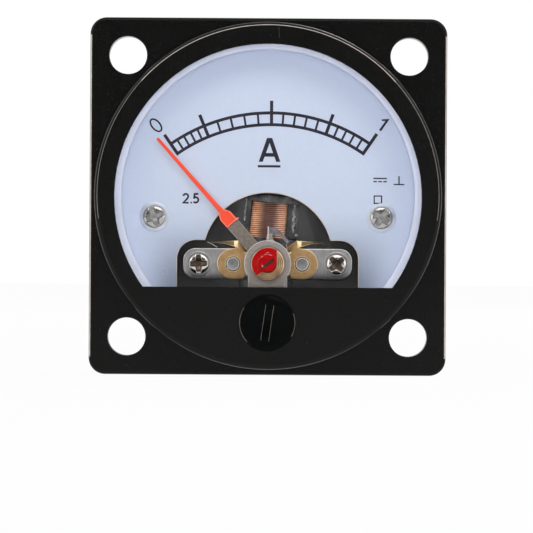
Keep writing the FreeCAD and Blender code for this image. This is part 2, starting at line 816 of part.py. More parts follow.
def make_bobbin():
    """The moulded bobbin: two winding cores, a well for the magnet, and fixing lugs."""
    solid = [box("bobbin_width", f"2 * {BOBBIN_HALF}", "bobbin_depth", "0", PIVOT_Y, BOBBIN_REAR)]
    lug_span, lug_rear = "bobbin_width + 2 * lug_width", f"{CHASSIS_REAR} - lug_thickness"
    solid.append(box(lug_span, "2 * lug_half_height", "lug_thickness", "0", PIVOT_Y, lug_rear))
    gone = []
    for up in (1, -1):
        middle = f"{PIVOT_Y} + {up} * (coil_start + coil_length / 2)"
        window = box("bobbin_width", "coil_length", "bobbin_depth", "0", middle, BOBBIN_REAR)
        rear = f"{BOBBIN_MIDDLE} - core_depth / 2"
        core = box("core_width", "coil_length", "core_depth", "0", middle, rear)
        gone.append(cut(window, core))
    gone.append(cylinder("well_radius", f"{BAR_REAR} - {WELL_FLOOR}", "0", PIVOT_Y, WELL_FLOOR))
    gone.append(cylinder("rear_bush_shank", "well_floor", "0", PIVOT_Y, BOBBIN_REAR))
    return piece(swing(cut(fuse(*solid), *gone), "coil_tilt"), "bobbin")


def make_coil(name, up):
    """A winding with one ridge for each turn of its outer layer."""
    rear = f"{BOBBIN_MIDDLE} - coil_depth / 2"
    middle = f"{PIVOT_Y} + {up} * (coil_start + coil_length / 2)"
    inner_width, inner_depth = "coil_width - 2 * coil_groove", "coil_depth - 2 * coil_groove"
    layers = [box(inner_width, "coil_length", inner_depth, "0", middle, f"{rear} + coil_groove")]
    turns = int(value("coil_length / coil_pitch") + 0.001)
    for turn in range(turns):
        y = f"{PIVOT_Y} + {up} * (coil_start + coil_pitch * {turn + 0.5})"
        layers.append(box("coil_width", "coil_pitch / 2", "coil_depth", "0", y, rear))
    core = box("core_width", "coil_length", "core_depth", "0", middle, f"{BOBBIN_MIDDLE} - core_depth / 2")
    return piece(swing(cut(fuse(*layers), core), "coil_tilt"), name)


def make_support_bar():
    """The steel bar across the movement, with holes for its screws, rivets and spindle."""
    body = new_body("support_bar")
    outline = new_sketch(body, BAR_REAR)
    add_rectangle(outline, "bar_length", "bar_width", y=PIVOT_Y)
    extrude(body, "Pad", outline, "bar_thickness")
    round_edges(body, "bar_corner", lambda spot, edge: upright(edge))
    holes = new_sketch(body, BAR_REAR)
    add_circle(holes, "bar_bore", y=PIVOT_Y)
    for side in (-1, 1):
        add_circle(holes, "screw_thread", f"{side} * bar_screw_offset", PIVOT_Y)
        add_circle(holes, "rivet_shank", f"{side} * ear_offset", PIVOT_Y)
    extrude(body, "Pocket", holes, "bar_thickness")
    return piece(stand(body), "support_bar")


def make_front_bridge():
    """The brass bridge: a round top plate, two risers, and feet with ears and side arms."""
    solid = [cylinder("bridge_plate_radius", "bridge_sheet", "0", PIVOT_Y, PLATE_REAR)]
    reach = "2 * (riser_offset + bridge_sheet)"
    solid.append(box(reach, "2 * riser_half_width", "bridge_sheet", "0", PIVOT_Y, PLATE_REAR))
    gone = [cylinder("bush_spigot", "bridge_sheet", "0", PIVOT_Y, PLATE_REAR)]
    for side in (-1, 1):
        riser_x = f"{side} * (riser_offset + bridge_sheet / 2)"
        riser = f"{PLATE_FRONT} - {BAR_FRONT}"
        solid.append(box("bridge_sheet", "2 * riser_half_width", riser, riser_x, PIVOT_Y, BAR_FRONT))
        ear = (f"{side} * ear_offset", PIVOT_Y, BAR_FRONT)
        solid.append(cylinder("ear_radius", "bridge_sheet", *ear))
        gone.append(cylinder("rivet_shank", "bridge_sheet", *ear))
        foot = [
            ("riser_offset", "-ear_radius"),
            ("ear_offset", "-ear_radius"),
            ("ear_offset", "ear_radius"),
            ("horn_root", "ear_radius"),
            ("horn_root", "horn_rise - horn_depth"),
            ("horn_reach", "horn_rise - horn_droop - horn_tip"),
            ("horn_reach", "horn_rise - horn_droop"),
            ("shoulder_offset", "horn_rise"),
            ("throat_offset", "throat_rise"),
            ("riser_offset", "riser_half_width"),
        ]
        corners = from_pivot([(f"{side} * {x}", y) for x, y in foot])
        solid.append(prism(corners[::side], "bridge_sheet", BAR_FRONT))
    return piece(cut(fuse(*solid), *gone), "front_bridge")


def make_bridge_rivet(name, side):
    """A rivet through the bridge's ear and the bar."""
    x = f"{side} * ear_offset"
    shank = cylinder("rivet_shank", "bar_thickness + bridge_sheet", x, PIVOT_Y, BAR_REAR)
    head = cylinder("rivet_radius", "rivet_height", x, PIVOT_Y, FOOT_FRONT)
    return piece(fuse(shank, head), name)


def make_front_bearing():
    """The bush in the bridge, the slotted bearing screw with its jewel, and the lock nut."""
    spigot = cylinder("bush_spigot", "bridge_sheet", "0", PIVOT_Y, PLATE_REAR)
    collar = cylinder("bush_radius", "bush_collar", "0", PIVOT_Y, PLATE_FRONT)
    bore = cylinder("bearing_screw_radius", "bridge_sheet + bush_collar", "0", PIVOT_Y, PLATE_REAR)
    piece(cut(fuse(spigot, collar), bore), "front_bearing_bush")
    length = f"{BEARING_NUT_FRONT} + bearing_screw_proud - {PLATE_REAR}"
    rod = cylinder("bearing_screw_radius", length, "0", PIVOT_Y, PLATE_REAR)
    pocket = cylinder("jewel_radius", "jewel_height", "0", PIVOT_Y, PLATE_REAR)
    slot = make_slot("bearing_screw_radius", "bearing_slot", "bearing_slot_depth", "bearing_slot_angle")
    bind(slot, "Placement.Base.y", f"-({BEARING_NUT_FRONT} + bearing_screw_proud - bearing_slot_depth)")
    piece(cut(rod, pocket, slot), "front_bearing_screw")
    block = cylinder("jewel_radius", "jewel_height", "0", PIVOT_Y, PLATE_REAR)
    cup = cone("jewel_cup", "jewel_cup / 4", "jewel_cup", "0", PIVOT_Y, PLATE_REAR)
    piece(cut(block, cup), "front_jewel")
    screw_bore = "bearing_screw_radius"
    piece(tube("washer_radius", screw_bore, "washer_thickness", "0", PIVOT_Y, COLLAR_FRONT), "lever_washer")
    nut = tube("bearing_nut_radius", screw_bore, "bearing_nut_height", "0", PIVOT_Y, WASHER_FRONT)
    piece(nut, "bearing_nut")
    ring = tube("bearing_nut_radius", screw_bore, "lacquer_thickness", "0", PIVOT_Y, BEARING_NUT_FRONT)
    size = "bearing_nut_radius"
    patch = from_pivot([
        (f"-{size}", f"-0.8 * {size}"),
        (f"-0.2 * {size}", f"-0.4 * {size}"),
        ("lacquer_right", f"0.1 * {size}"),
        ("lacquer_right", size),
        (f"-{size}", size),
    ])
    sector = prism(patch, "lacquer_thickness", BEARING_NUT_FRONT)
    piece(common(ring, sector), "locking_lacquer")


def make_slot(radius, width, length, angle):
    """A screwdriver slot across a round head at the pivot, at an angle."""
    body = new_body("Slot")
    sketch = new_sketch(body)
    add_rectangle(sketch, f"3 * {radius}", width)
    extrude(body, "Pad", sketch, length)
    return stand(body, "0", PIVOT_Y, "0", angle)


def make_zero_lever():
    """The sheet lever: a ring round the bush, a forked tongue, and the spring's anchor."""
    solid = [cylinder("lever_ring_radius", "lever_sheet", "0", PIVOT_Y, LEVER_REAR)]
    tongue_middle = f"{PIVOT_Y} - tongue_length / 2"
    solid.append(box("tongue_width", "tongue_length", "lever_sheet", "0", tongue_middle, LEVER_REAR))
    tab_middle = f"{PIVOT_Y} + tab_reach / 2"
    solid.append(box("tab_width", "tab_reach", "lever_sheet", "tab_shift", tab_middle, LEVER_REAR))
    fold_y = f"{PIVOT_Y} + tab_reach - lever_sheet / 2"
    fold_length = f"{LEVER_FRONT} - {SPRING_REAR}"
    solid.append(box("tab_width", "lever_sheet", fold_length, "tab_shift", fold_y, SPRING_REAR))
    fin_height = "fin_reach - tab_reach + lever_sheet"
    fin_y = f"{PIVOT_Y} + fin_reach - ({fin_height}) / 2"
    solid.append(box("fin_width", fin_height, fold_length, "fin_shift", fin_y, SPRING_REAR))
    strip = from_pivot([
        ("fin_shift - fin_width / 2", "tab_reach - lever_sheet"),
        ("tab_shift + tab_width / 2", "tab_reach - lever_sheet"),
        ("anchor_offset - anchor_width", "anchor_rise - anchor_width"),
        ("anchor_offset", "anchor_rise - anchor_width"),
        ("anchor_offset", "anchor_rise"),
        ("tab_shift + tab_width / 2", "fin_reach - lever_sheet / 2"),
        ("fin_shift", "fin_reach"),
        ("fin_shift - fin_width / 2", "fin_reach"),
    ])
    solid.append(prism(strip, "lever_sheet", SPRING_REAR))
    bore = cylinder("lever_ring_bore", "lever_sheet", "0", PIVOT_Y, LEVER_REAR)
    fork_y = f"{PIVOT_Y} - tongue_length + fork_depth / 2"
    fork = box("2 * (zero_pin_radius + fork_play)", "fork_depth", "lever_sheet", "0", fork_y, LEVER_REAR)
    return piece(cut(fuse(*solid), bore, fork), "zero_lever")


def make_hairspring():
    """The flat spiral spring, from close round its collet out to the lever's anchor."""
    depth = -value(SPRING_REAR)
    pivot = value(PIVOT_Y)
    growth = value("spring_pitch / 2")
    anchor_x = value("anchor_offset - anchor_width / 2")
    anchor_y = value("anchor_rise - anchor_width")

    def spot(x, y):
        return Vector(x, depth, pivot + y)

    def edge_line(offset):
        """One edge of the strip: half circles that widen by half a pitch, then a straight run."""
        edges = []
        for half_turn in range(int(value("2 * spring_turns"))):
            radius = value("spring_inner") + half_turn * growth + offset
            middle = half_turn % 2 * growth
            side = (-1) ** half_turn
            end = spot(middle - side * radius, 0)
            arc = Part.Arc(spot(middle + side * radius, 0), spot(middle, side * radius), end)
            edges.append(arc.toShape())
        edges.append(Part.makeLine(end, spot(anchor_x + offset, anchor_y)))
        return edges

    outer, inner = edge_line(value("spring_strip / 2")), edge_line(-value("spring_strip / 2"))
    ends = []
    for place in (0, -1):
        ends.append(Part.makeLine(inner[place].Vertexes[place].Point, outer[place].Vertexes[place].Point))
    face = Part.Face(Part.Wire(Part.__sortEdges__(outer + inner + ends)))
    thing = doc.addObject("Part::Feature", "hairspring")
    thing.Shape = face.extrude(Vector(0, -value("spring_width"), 0))
    return piece(thing, "hairspring")


def make_moving_system():
    """The pivoted system, at the pointer's zero: spindle, magnet, arm, pointer and weight."""
    rear, front = f"({REAR_TIP} + spindle_tip)", f"({FRONT_TIP} - spindle_tip)"
    rod = cylinder("spindle_radius", f"{front} - {rear}", "0", PIVOT_Y, rear)
    rear_point = cone("spindle_radius / 4", "spindle_radius", "spindle_tip", "0", PIVOT_Y, REAR_TIP)
    front_point = cone("spindle_radius", "spindle_radius / 4", "spindle_tip", "0", PIVOT_Y, front)
    piece(fuse(rod, rear_point, front_point), "spindle")
    magnet_rear = f"{WELL_FLOOR} + magnet_offset - rear_bush_flange"
    magnet = tube("magnet_radius", "spindle_radius", "magnet_length", "0", PIVOT_Y, magnet_rear)
    piece(magnet, "rotor_magnet")
    lean = "-pointer_angle"
    hub = cylinder("arm_hub_radius", "arm_sheet", "0", PIVOT_Y, ARM_REAR)
    strip = box("arm_width", "arm_reach", "arm_sheet", "0", f"{PIVOT_Y} + arm_reach / 2", ARM_REAR)
    tail = box("tail_width", "tail_reach", "arm_sheet", "0", f"{PIVOT_Y} - tail_reach / 2", ARM_REAR)
    under = f"{PIVOT_Y} + arm_reach + paddle_overlap / 2"
    tongue = box("tail_width", "paddle_overlap", "arm_sheet", "0", under, ARM_REAR)
    bore = cylinder("spindle_radius", "arm_sheet", "0", PIVOT_Y, ARM_REAR)
    piece(swing(cut(fuse(hub, strip, tail, tongue), bore), lean), "pointer_arm")
    needle = from_pivot([
        ("-paddle_width / 2", "arm_reach"),
        ("paddle_width / 2", "arm_reach"),
        ("paddle_width / 2", "arm_reach + paddle_width / 2"),
        ("pointer_neck_width / 2", "pointer_neck"),
        ("pointer_tip_width / 2", POINTER_LENGTH),
        ("-pointer_tip_width / 2", POINTER_LENGTH),
        ("-pointer_neck_width / 2", "pointer_neck"),
        ("-paddle_width / 2", "arm_reach + paddle_width / 2"),
    ])
    piece(swung(prism(needle, "pointer_sheet", ARM_FRONT), lean), "pointer")
    weight_spot = ("0", f"{PIVOT_Y} - weight_offset", f"{ARM_REAR} - weight_height")
    weight = cylinder("weight_radius", "weight_height", *weight_spot)
    piece(swung(weight, lean), "balance_weight")
    collet = f"{SPRING_FRONT} - {ARM_FRONT}"
    piece(tube("collet_radius", "spindle_radius", collet, "0", PIVOT_Y, ARM_FRONT), "spring_collet")


def make_rear_bearing():
    """The copper damping cup, and the rear bush, bearing screw, lock nut and jewel."""
    cup_radius = "(well_radius - cup_fit)"
    cup = tube(cup_radius, f"{cup_radius} - cup_wall", "cup_height", "0", PIVOT_Y, WELL_FLOOR)
    piece(cup, "damping_cup")
    flange = cylinder("rear_bush_radius", "rear_bush_flange", "0", PIVOT_Y, WELL_FLOOR)
    shank = cylinder("rear_bush_shank", "well_floor", "0", PIVOT_Y, BOBBIN_REAR)
    bore = cylinder("rear_screw_radius", "well_floor + rear_bush_flange", "0", PIVOT_Y, BOBBIN_REAR)
    piece(cut(fuse(flange, shank), bore), "rear_bearing_bush")
    length = "well_floor + rear_bush_flange + rear_screw_proud"
    screw_rear = f"{BOBBIN_REAR} - rear_screw_proud"
    rod = cylinder("rear_screw_radius", length, "0", PIVOT_Y, screw_rear)
    jewel_rear = f"{REAR_BUSH_FRONT} - jewel_height"
    pocket = cylinder("jewel_radius", "jewel_height", "0", PIVOT_Y, jewel_rear)
    slot = box("3 * rear_screw_radius", "bearing_slot", "bearing_slot_depth", "0", PIVOT_Y, screw_rear)
    piece(cut(rod, pocket, slot), "rear_bearing_screw")
    block = cylinder("jewel_radius", "jewel_height", "0", PIVOT_Y, jewel_rear)
    cup = cone("jewel_cup / 4", "jewel_cup", "jewel_cup", "0", PIVOT_Y, f"{REAR_BUSH_FRONT} - jewel_cup")
    piece(cut(block, cup), "rear_jewel")
    nut_rear = f"{BOBBIN_REAR} - rear_nut_height"
    nut = tube("rear_nut_radius", "rear_screw_radius", "rear_nut_height", "0", PIVOT_Y, nut_rear)
    piece(nut, "rear_bearing_nut")


def make_zero_adjuster():
    """The slotted adjuster with its eccentric pin, and the clip behind the apron."""
    body = new_body("zero_adjust_screw")
    head = new_sketch(body, LIP_REAR)
    add_circle(head, "zero_head_radius")
    extrude(body, "Pad", head, "lip_thickness + zero_head_proud")
    face = value(f"{BEZEL_FRONT} + zero_head_proud")
    round_edges(body, "zero_head_fit", lambda spot, edge: near(spot.z, face))
    shaft = new_sketch(body, ZERO_SHAFT_REAR)
    add_circle(shaft, "zero_shaft_radius")
    extrude(body, "Pad", shaft, f"{LIP_REAR} - {ZERO_SHAFT_REAR}")
    stub = new_sketch(body, ZERO_SHAFT_REAR)
    add_circle(stub, "zero_pin_radius", y="-zero_pin_throw")
    extrude(body, "Pad", stub, f"{ZERO_SHAFT_REAR} - {LEVER_REAR} + zero_pin_overlap", forward=False)
    groove = new_sketch(body, plane="XZ_Plane")
    clip_rear = f"{APRON_REAR} - clip_gap - clip_thickness"
    clip_middle = f"{clip_rear} + clip_thickness / 2"
    add_rectangle(groove, "2 * clip_groove", "clip_thickness", "zero_shaft_radius", clip_middle)
    turn_round(body, "Groove", groove)
    slot = new_sketch(body, f"{BEZEL_FRONT} + zero_head_proud")
    reach, half = "zero_slot_length / 2", "zero_slot_width / 2"
    lean = "zero_slot_angle"
    corners = []
    for along, across in ((-1, -1), (1, -1), (1, 1), (-1, 1)):
        x = f"{across} * {half} * cos({lean}) + {along} * {reach} * sin({lean})"
        y = f"-{across} * {half} * sin({lean}) + {along} * {reach} * cos({lean})"
        corners.append((x, y))
    add_polygon(slot, corners)
    extrude(body, "Pocket", slot, "zero_slot_depth", forward=False)
    piece(stand(body, "0", ZERO_Y), "zero_adjust_screw")
    bore = "zero_shaft_radius - clip_groove"
    ring = tube("clip_radius", bore, "clip_thickness", "0", ZERO_Y, clip_rear)
    gap_y = f"{ZERO_Y} + clip_radius / 2"
    gap = box("clip_radius / 2", "clip_radius", "clip_thickness", "0", gap_y, clip_rear)
    piece(cut(ring, gap), "zero_screw_clip")


def make_terminal(name, side):
    """A stud with its inner head, outer nut and solder tag."""
    x = f"{side} * terminal_offset"
    tag_rear = CASE_FLOOR
    head_rear = f"({tag_rear} + tag_thickness)"
    tail = f"({TERMINAL_SEAT} - stud_tail)"
    nut_rear = f"({TERMINAL_SEAT} - terminal_nut_height)"
    core_rear = f"({nut_rear} - stud_runout)"
    core = cylinder("stud_core", f"{head_rear} - {core_rear}", x, "0", core_rear)
    rod_rear = f"({tail} + stud_chamfer)"
    rod = cylinder("stud_radius", f"{core_rear} - {rod_rear}", x, "0", rod_rear)
    point = cone("stud_radius - stud_chamfer", "stud_radius", "stud_chamfer", x, "0", tail)
    head = prism(hexagon("stud_head_flats", x), "stud_head_height", head_rear)
    piece(fuse(core, rod, point, head), f"terminal_stud_{name}")
    block = prism(hexagon("terminal_nut_flats", x), "terminal_nut_height", nut_rear)
    bore = cylinder("stud_core", "terminal_nut_height", x, "0", nut_rear)
    piece(cut(block, bore), f"terminal_nut_{name}")
    ring = cylinder("tag_radius", "tag_thickness", x, "0", tag_rear)
    middle = f"{x} - {side} * tag_reach / 2"
    strip = box("tag_reach", "tag_width", "tag_thickness", middle, "0", tag_rear)
    hole = cylinder("stud_radius", "tag_thickness", x, "0", tag_rear)
    piece(cut(fuse(ring, strip), hole), f"solder_tag_{name}")


def make_lead(name, side):
    """The wire from a solder tag to the bobbin's back, with rounded turns."""
    start = value(f"{CASE_FLOOR} + tag_thickness")
    tag_x = side * value("terminal_offset - tag_reach + lead_radius * 2")
    end_x, end_y = side * value("lead_end_x"), value(f"{PIVOT_Y} + lead_end_rise")
    end = value(BOBBIN_REAR)
    route = [
        Vector(tag_x, -start, 0),
        Vector(tag_x, -start - value("lead_straight"), 0),
        Vector(end_x, -end + value("lead_end_straight"), end_y),
        Vector(end_x, -end, end_y),
    ]
    edges = []
    here = route[0]
    for before, corner, after in zip(route, route[1:], route[2:]):
        arriving, leaving = (corner - before).normalize(), (after - corner).normalize()
        trim = 0.45 * min((corner - before).Length, (after - corner).Length)
        first, last = corner - arriving * trim, corner + leaving * trim
        half_turn = arriving.getAngle(leaving) / 2
        bisector = (leaving - arriving).normalize()
        radius = trim / math.tan(half_turn)
        centre = corner + bisector * (radius ** 2 + trim ** 2) ** 0.5
        edges.append(Part.makeLine(here, first))
        edges.append(Part.Arc(first, centre - bisector * radius, last).toShape())
        here = last
    edges.append(Part.makeLine(here, route[-1]))
    ring = Part.Wire([Part.makeCircle(value("lead_radius"), route[0], Vector(0, -1, 0))])
    thing = doc.addObject("Part::Feature", f"coil_lead_{name}")
    thing.Shape = Part.Wire(edges).makePipeShell([ring], True, True)
    return piece(thing, f"coil_lead_{name}")


def build():
    """Makes every piece of the meter."""
    make_front_cover()
    make_window()
    make_rear_case()
    make_dial_plate()
    make_dial_scale()
    make_chassis()
    make_bobbin()
    make_coil("coil_upper", 1)
    make_coil("coil_lower", -1)
    make_support_bar()
    make_front_bridge()
    make_front_bearing()
    make_rear_bearing()
    make_zero_lever()
    make_hairspring()
    make_moving_system()
    make_zero_adjuster()
    for name, side in terminal_sides():
        screw(f"dial_screw_{name}", f"{side} * {DIAL_SCREW_X}", DIAL_SCREW_Y, DIAL_FRONT,
              "dial_screw_head", "dial_screw_height", crossed=True)
        screw(f"bar_screw_{name}", f"{side} * bar_screw_offset", PIVOT_Y, BAR_FRONT,
              "bar_screw_head", "bar_screw_height", crossed=True)
        make_bridge_rivet(f"bridge_rivet_{name}", side)
        make_terminal(name, side)
        make_lead(name, side)
    for number, (x, y) in enumerate(post_spots(), start=1):
        screw(f"chassis_screw_{number}", x, y, CHASSIS_FRONT,
              "chassis_screw_head", "chassis_screw_height", crossed=False)


def check():
    """Stops if any object failed or any piece isn't one sound shape."""
    for thing in doc.Objects:
        if "Invalid" in thing.State or "Error" in thing.State:
            raise RuntimeError(f"{thing.Name} ({thing.Label}) failed: {thing.State}")
    for thing in pieces:
        if thing.Shape.isNull() or not thing.Shape.isValid() or not thing.Shape.Solids:
            raise RuntimeError(f"{thing.Label} has no sound shape")


def export():
    """Writes each piece to a file of its own."""
    os.makedirs("parts", exist_ok=True)
    for thing in pieces:
        thing.Shape.exportStep(f"parts/{thing.Label}.step")
        shape = thing.Shape
        print(f"{thing.Label:22s} solids {len(shape.Solids)}  volume {shape.Volume:9.3f} mm3")


fill_sheet()
build()
doc.recompute()
check()
export()
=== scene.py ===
"""Looks of a square-flanged analog panel meter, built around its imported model."""
import json
import math
import random

import bmesh
import bpy
from mathutils import Matrix, Vector

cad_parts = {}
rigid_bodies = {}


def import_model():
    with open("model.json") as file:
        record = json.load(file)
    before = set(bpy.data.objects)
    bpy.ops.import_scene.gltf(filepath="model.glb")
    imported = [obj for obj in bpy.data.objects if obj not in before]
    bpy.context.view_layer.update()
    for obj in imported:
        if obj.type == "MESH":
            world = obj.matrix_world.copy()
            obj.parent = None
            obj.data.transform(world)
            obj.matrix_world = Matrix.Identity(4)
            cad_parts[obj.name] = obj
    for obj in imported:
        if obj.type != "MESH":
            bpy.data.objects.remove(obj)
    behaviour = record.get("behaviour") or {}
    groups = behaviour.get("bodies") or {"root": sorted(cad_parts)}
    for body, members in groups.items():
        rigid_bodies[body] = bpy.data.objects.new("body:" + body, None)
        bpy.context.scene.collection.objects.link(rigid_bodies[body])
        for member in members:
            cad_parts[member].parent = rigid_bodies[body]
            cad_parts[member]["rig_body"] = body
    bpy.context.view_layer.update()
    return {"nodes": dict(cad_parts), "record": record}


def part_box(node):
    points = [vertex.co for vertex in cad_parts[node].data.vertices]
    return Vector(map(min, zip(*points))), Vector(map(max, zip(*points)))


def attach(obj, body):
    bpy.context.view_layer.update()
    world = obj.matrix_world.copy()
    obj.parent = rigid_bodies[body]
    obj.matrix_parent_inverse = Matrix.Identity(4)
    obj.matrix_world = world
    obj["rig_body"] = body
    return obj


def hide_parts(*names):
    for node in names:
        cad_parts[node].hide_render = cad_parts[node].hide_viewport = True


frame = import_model()
nodes = frame["nodes"]

# Places in millimetres, seen from the front: right, up, and forward from the panel. Angles in degrees.

MM, MICRON = 0.001, 0.000001
PIVOT = (0.0, -9.45)
ZERO_SPOT, SLOT_LEAN = (0.0, -17.6), 8.0
EAR_X, BAR_SCREW_X, DIAL_SCREW_X, DIAL_SCREW_Y, STUD_X = 4.85, 9.68, 15.92, -2.9, 11.5
DIAL_FACE, PRINT_FACE, HEAD_FACE = 2.6, 2.63, 10.1
COIL_LEAN, COIL_SLOPE, COIL_SHIFT, COIL_START, WIRE_PITCH = 5.5, -0.036, -0.5, 3.79, 0.2817
POINTER_LEAN, PADDLE_ROOT, PADDLE_END, POINTER_END = 41.6, 7.5, 10.6, 23.2
WINDOW_SKIRT = 20.4


def at(x, y, depth):
    """A point of the meter as a place in the scene."""
    return Vector((x, -depth, y)) * MM


def around_pivot(points):
    """Points measured from the pivot, as points of the face."""
    return [(PIVOT[0] + x, PIVOT[1] + y) for x, y in points]


def lifted(points, depth):
    """Points of a plane, all at one height over it."""
    return [(x, y, depth) for x, y in points]


def put(name, data):
    """A new object in the scene."""
    thing = bpy.data.objects.new(name, data)
    bpy.context.scene.collection.objects.link(thing)
    return thing


bpy.context.scene.view_settings.view_transform = "Standard"

# Camera

FOCAL, SENSOR, DISTANCE = 289.36, 36.0, 603.0
VIEW_X, VIEW_Y, ROLL = -0.15, -9.8, math.radians(0.35)

eye = bpy.data.cameras.new("camera")
eye.lens, eye.sensor_width = FOCAL, SENSOR
eye.clip_start, eye.clip_end = 0.01, 20.0
camera = put("camera", eye)
camera.matrix_world = (
    Matrix.Translation(at(VIEW_X, VIEW_Y, DISTANCE))
    @ Matrix.Rotation(math.radians(90), 4, "X")
    @ Matrix.Rotation(ROLL, 4, "Z")
)
bpy.context.scene.camera = camera

# Lamps

RIGHT_SPOT, LEFT_SPOT = (0.5, -0.62, 0.06), (-0.5, -0.62, 0.06)
# Name, place, width and height in metres, watts, and whether matt and glossy surfaces take it
LAMPS = (
    ("lamp_top", (0.05, -0.34, 0.22), 0.34, 0.16, 0.36, True, True),
    ("lamp_right", RIGHT_SPOT, 0.28, 0.6, 0.8, True, True),
    ("lamp_left", LEFT_SPOT, 0.28, 0.6, 0.9, True, True),
    ("shine_right", RIGHT_SPOT, 0.28, 0.6, 0.8, False, True),
    ("shine_left", LEFT_SPOT, 0.28, 0.6, 1.0, False, True),
    ("lamp_fill", (0, -0.8, -0.06), 0.24, 0.24, 6.0, True, False),
    ("lamp_rear", (0.4, 0.8, 0.6), 0.6, 0.5, 5.0, True, True),
)


def lamp(name, place, width, height, watts, on_matt, on_gloss):
    """A rectangular lamp that faces the middle of the panel."""
    light = bpy.data.lights.new(name, "AREA")
    light.shape, light.size, light.size_y = "RECTANGLE", width, height
    light.energy = watts
    thing = put(name, light)
    thing.location = place
    thing.rotation_euler = (Vector() - Vector(place)).to_track_quat("-Z", "Y").to_euler()
    thing.visible_diffuse, thing.visible_glossy = on_matt, on_gloss


for row in LAMPS:
    lamp(*row)


# Shader nodes

def feed(tree, socket, value):
    """Sets an input to a number or colour, or links another node's output to it."""
    if isinstance(value, bpy.types.NodeSocket):
        tree.links.new(value, socket)
    else:
        socket.default_value = value


def fill(tree, made, **values):
    """Feeds a node's inputs by name, with _ for a space."""
    for name, value in values.items():
        feed(tree, made.inputs[name.replace("_", " ")], value)


def node(tree, kind, **values):
    """A new shader node with its inputs."""
    made = tree.nodes.new("ShaderNode" + kind)
    fill(tree, made, **values)
    return made


def calc(tree, operation, *values):
    """The result of a Math node."""
    made = node(tree, "Math")
    made.operation = operation
    for socket, value in zip(made.inputs, values):
        feed(tree, socket, value)
    return made.outputs[0]


def smooth_range(tree, value, low, high, top):
    """0 below low, top above high, and a soft ramp between."""
    made = node(tree, "MapRange", Value=value, From_Min=low, From_Max=high, To_Min=0.0, To_Max=top)
    made.interpolation_type = "SMOOTHSTEP"
    return made.outputs[0]


def axes(tree, place):
    """The three parts of a place or direction."""
    return node(tree, "SeparateXYZ", Vector=place).outputs


def length_of(tree, x, y):
    """The length of two parts taken together."""
    return calc(tree, "SQRT", calc(tree, "MULTIPLY_ADD", x, x, calc(tree, "MULTIPLY", y, y)))


def any_ray(tree, *kinds):
    """1 for rays of these kinds, and 0 for all others."""
    rays = node(tree, "LightPath").outputs
    found = rays[kinds[0]]
    for kind in kinds[1:]:
        found = calc(tree, "MAXIMUM", found, rays[kind])
    return found


def mix_shaders(tree, share, first, second):
    """The first shader where share is 0, and the second where it is 1."""
    made = node(tree, "MixShader", Fac=share)
    tree.links.new(first, made.inputs[1])
    tree.links.new(second, made.inputs[2])
    return made.outputs[0]


def blank(name):
    """A new material with its node tree, shader and object coordinates."""
    made = bpy.data.materials.new(name)
    made.use_nodes = True
    tree = made.node_tree
    tree.nodes.clear()
    shader = node(tree, "BsdfPrincipled")
    node(tree, "OutputMaterial", Surface=shader.outputs[0])
    return made, tree, shader, node(tree, "TexCoord").outputs["Object"]


def noise(tree, place, scale, detail=3.0, stretch=None, rough=0.5):
    """Noise over the object's coordinates, stretched along an axis if asked."""
    if stretch:
        place = node(tree, "Mapping", Vector=place, Scale=stretch).outputs[0]
    made = node(tree, "TexNoise", Vector=place, Scale=scale, Detail=detail, Roughness=rough)
    return made.outputs["Fac"]


def ramp_of(tree, value, points):
    """A value run through a ramp of colours, given as (place, colour) pairs."""
    made = node(tree, "ValToRGB", Fac=value)
    band = made.color_ramp.elements
    while len(band) < len(points):
        band.new(1.0)
    for element, (place, colour) in zip(band, points):
        element.position = place
        element.color = (*colour, 1)
    return made.outputs["Color"]


def bump(tree, shader, height, distance):
    """Raises the surface by a height, in metres where it is 1."""
    made = node(tree, "Bump", Strength=1.0, Distance=distance, Height=height)
    tree.links.new(made.outputs[0], shader.inputs["Normal"])


def darker(tree, colour, share, least):
    """A colour multiplied down to a least share of itself, by a value from 0 to 1."""
    made = node(tree, "Mix")
    made.data_type, made.blend_type = "RGBA", "MULTIPLY"
    for index, value in ((0, share), (6, colour), (7, (*least, 1))):
        feed(tree, made.inputs[index], value)
    return made.outputs[2]


def make_world():
    """White for what looks past the object, a soft grey light, and a room to reflect."""
    world = bpy.data.worlds.new("studio")
    bpy.context.scene.world = world
    world.use_nodes = True
    tree = world.node_tree
    tree.nodes.clear()
    x, y, z = axes(tree, node(tree, "TexCoord").outputs["Generated"])
    above = smooth_range(tree, z, 0.25, 0.8, 0.9)
    aside = smooth_range(tree, calc(tree, "ABSOLUTE", x), 0.35, 0.8, 1.0)
    behind = smooth_range(tree, y, 0.0, 0.5, 1.0)
    level = calc(tree, "MAXIMUM", calc(tree, "ADD", above, aside), behind)
    front_glow = 0.07
    room = node(tree, "Background", Strength=calc(tree, "ADD", level, front_glow))
    glow = node(tree, "Background", Color=(0.31, 0.32, 0.34, 1))
    white = node(tree, "Background", Color=(1, 1, 1, 1))
    light = mix_shaders(tree, any_ray(tree, "Is Glossy Ray"), glow.outputs[0], room.outputs[0])
    seen = any_ray(tree, "Is Camera Ray", "Is Transmission Ray")
    node(tree, "OutputWorld", Surface=mix_shaders(tree, seen, light, white.outputs[0]))


make_world()


# Materials

def painted_shade_bar_bottom(tree, place):
    """Painted shade: 1 along the lower edge of the bar, and 0 above it."""
    down = calc(tree, "MULTIPLY", axes(tree, place)["Z"], -1.0)
    return smooth_range(tree, down, 10.2 * MM, 11.7 * MM, 1.0)


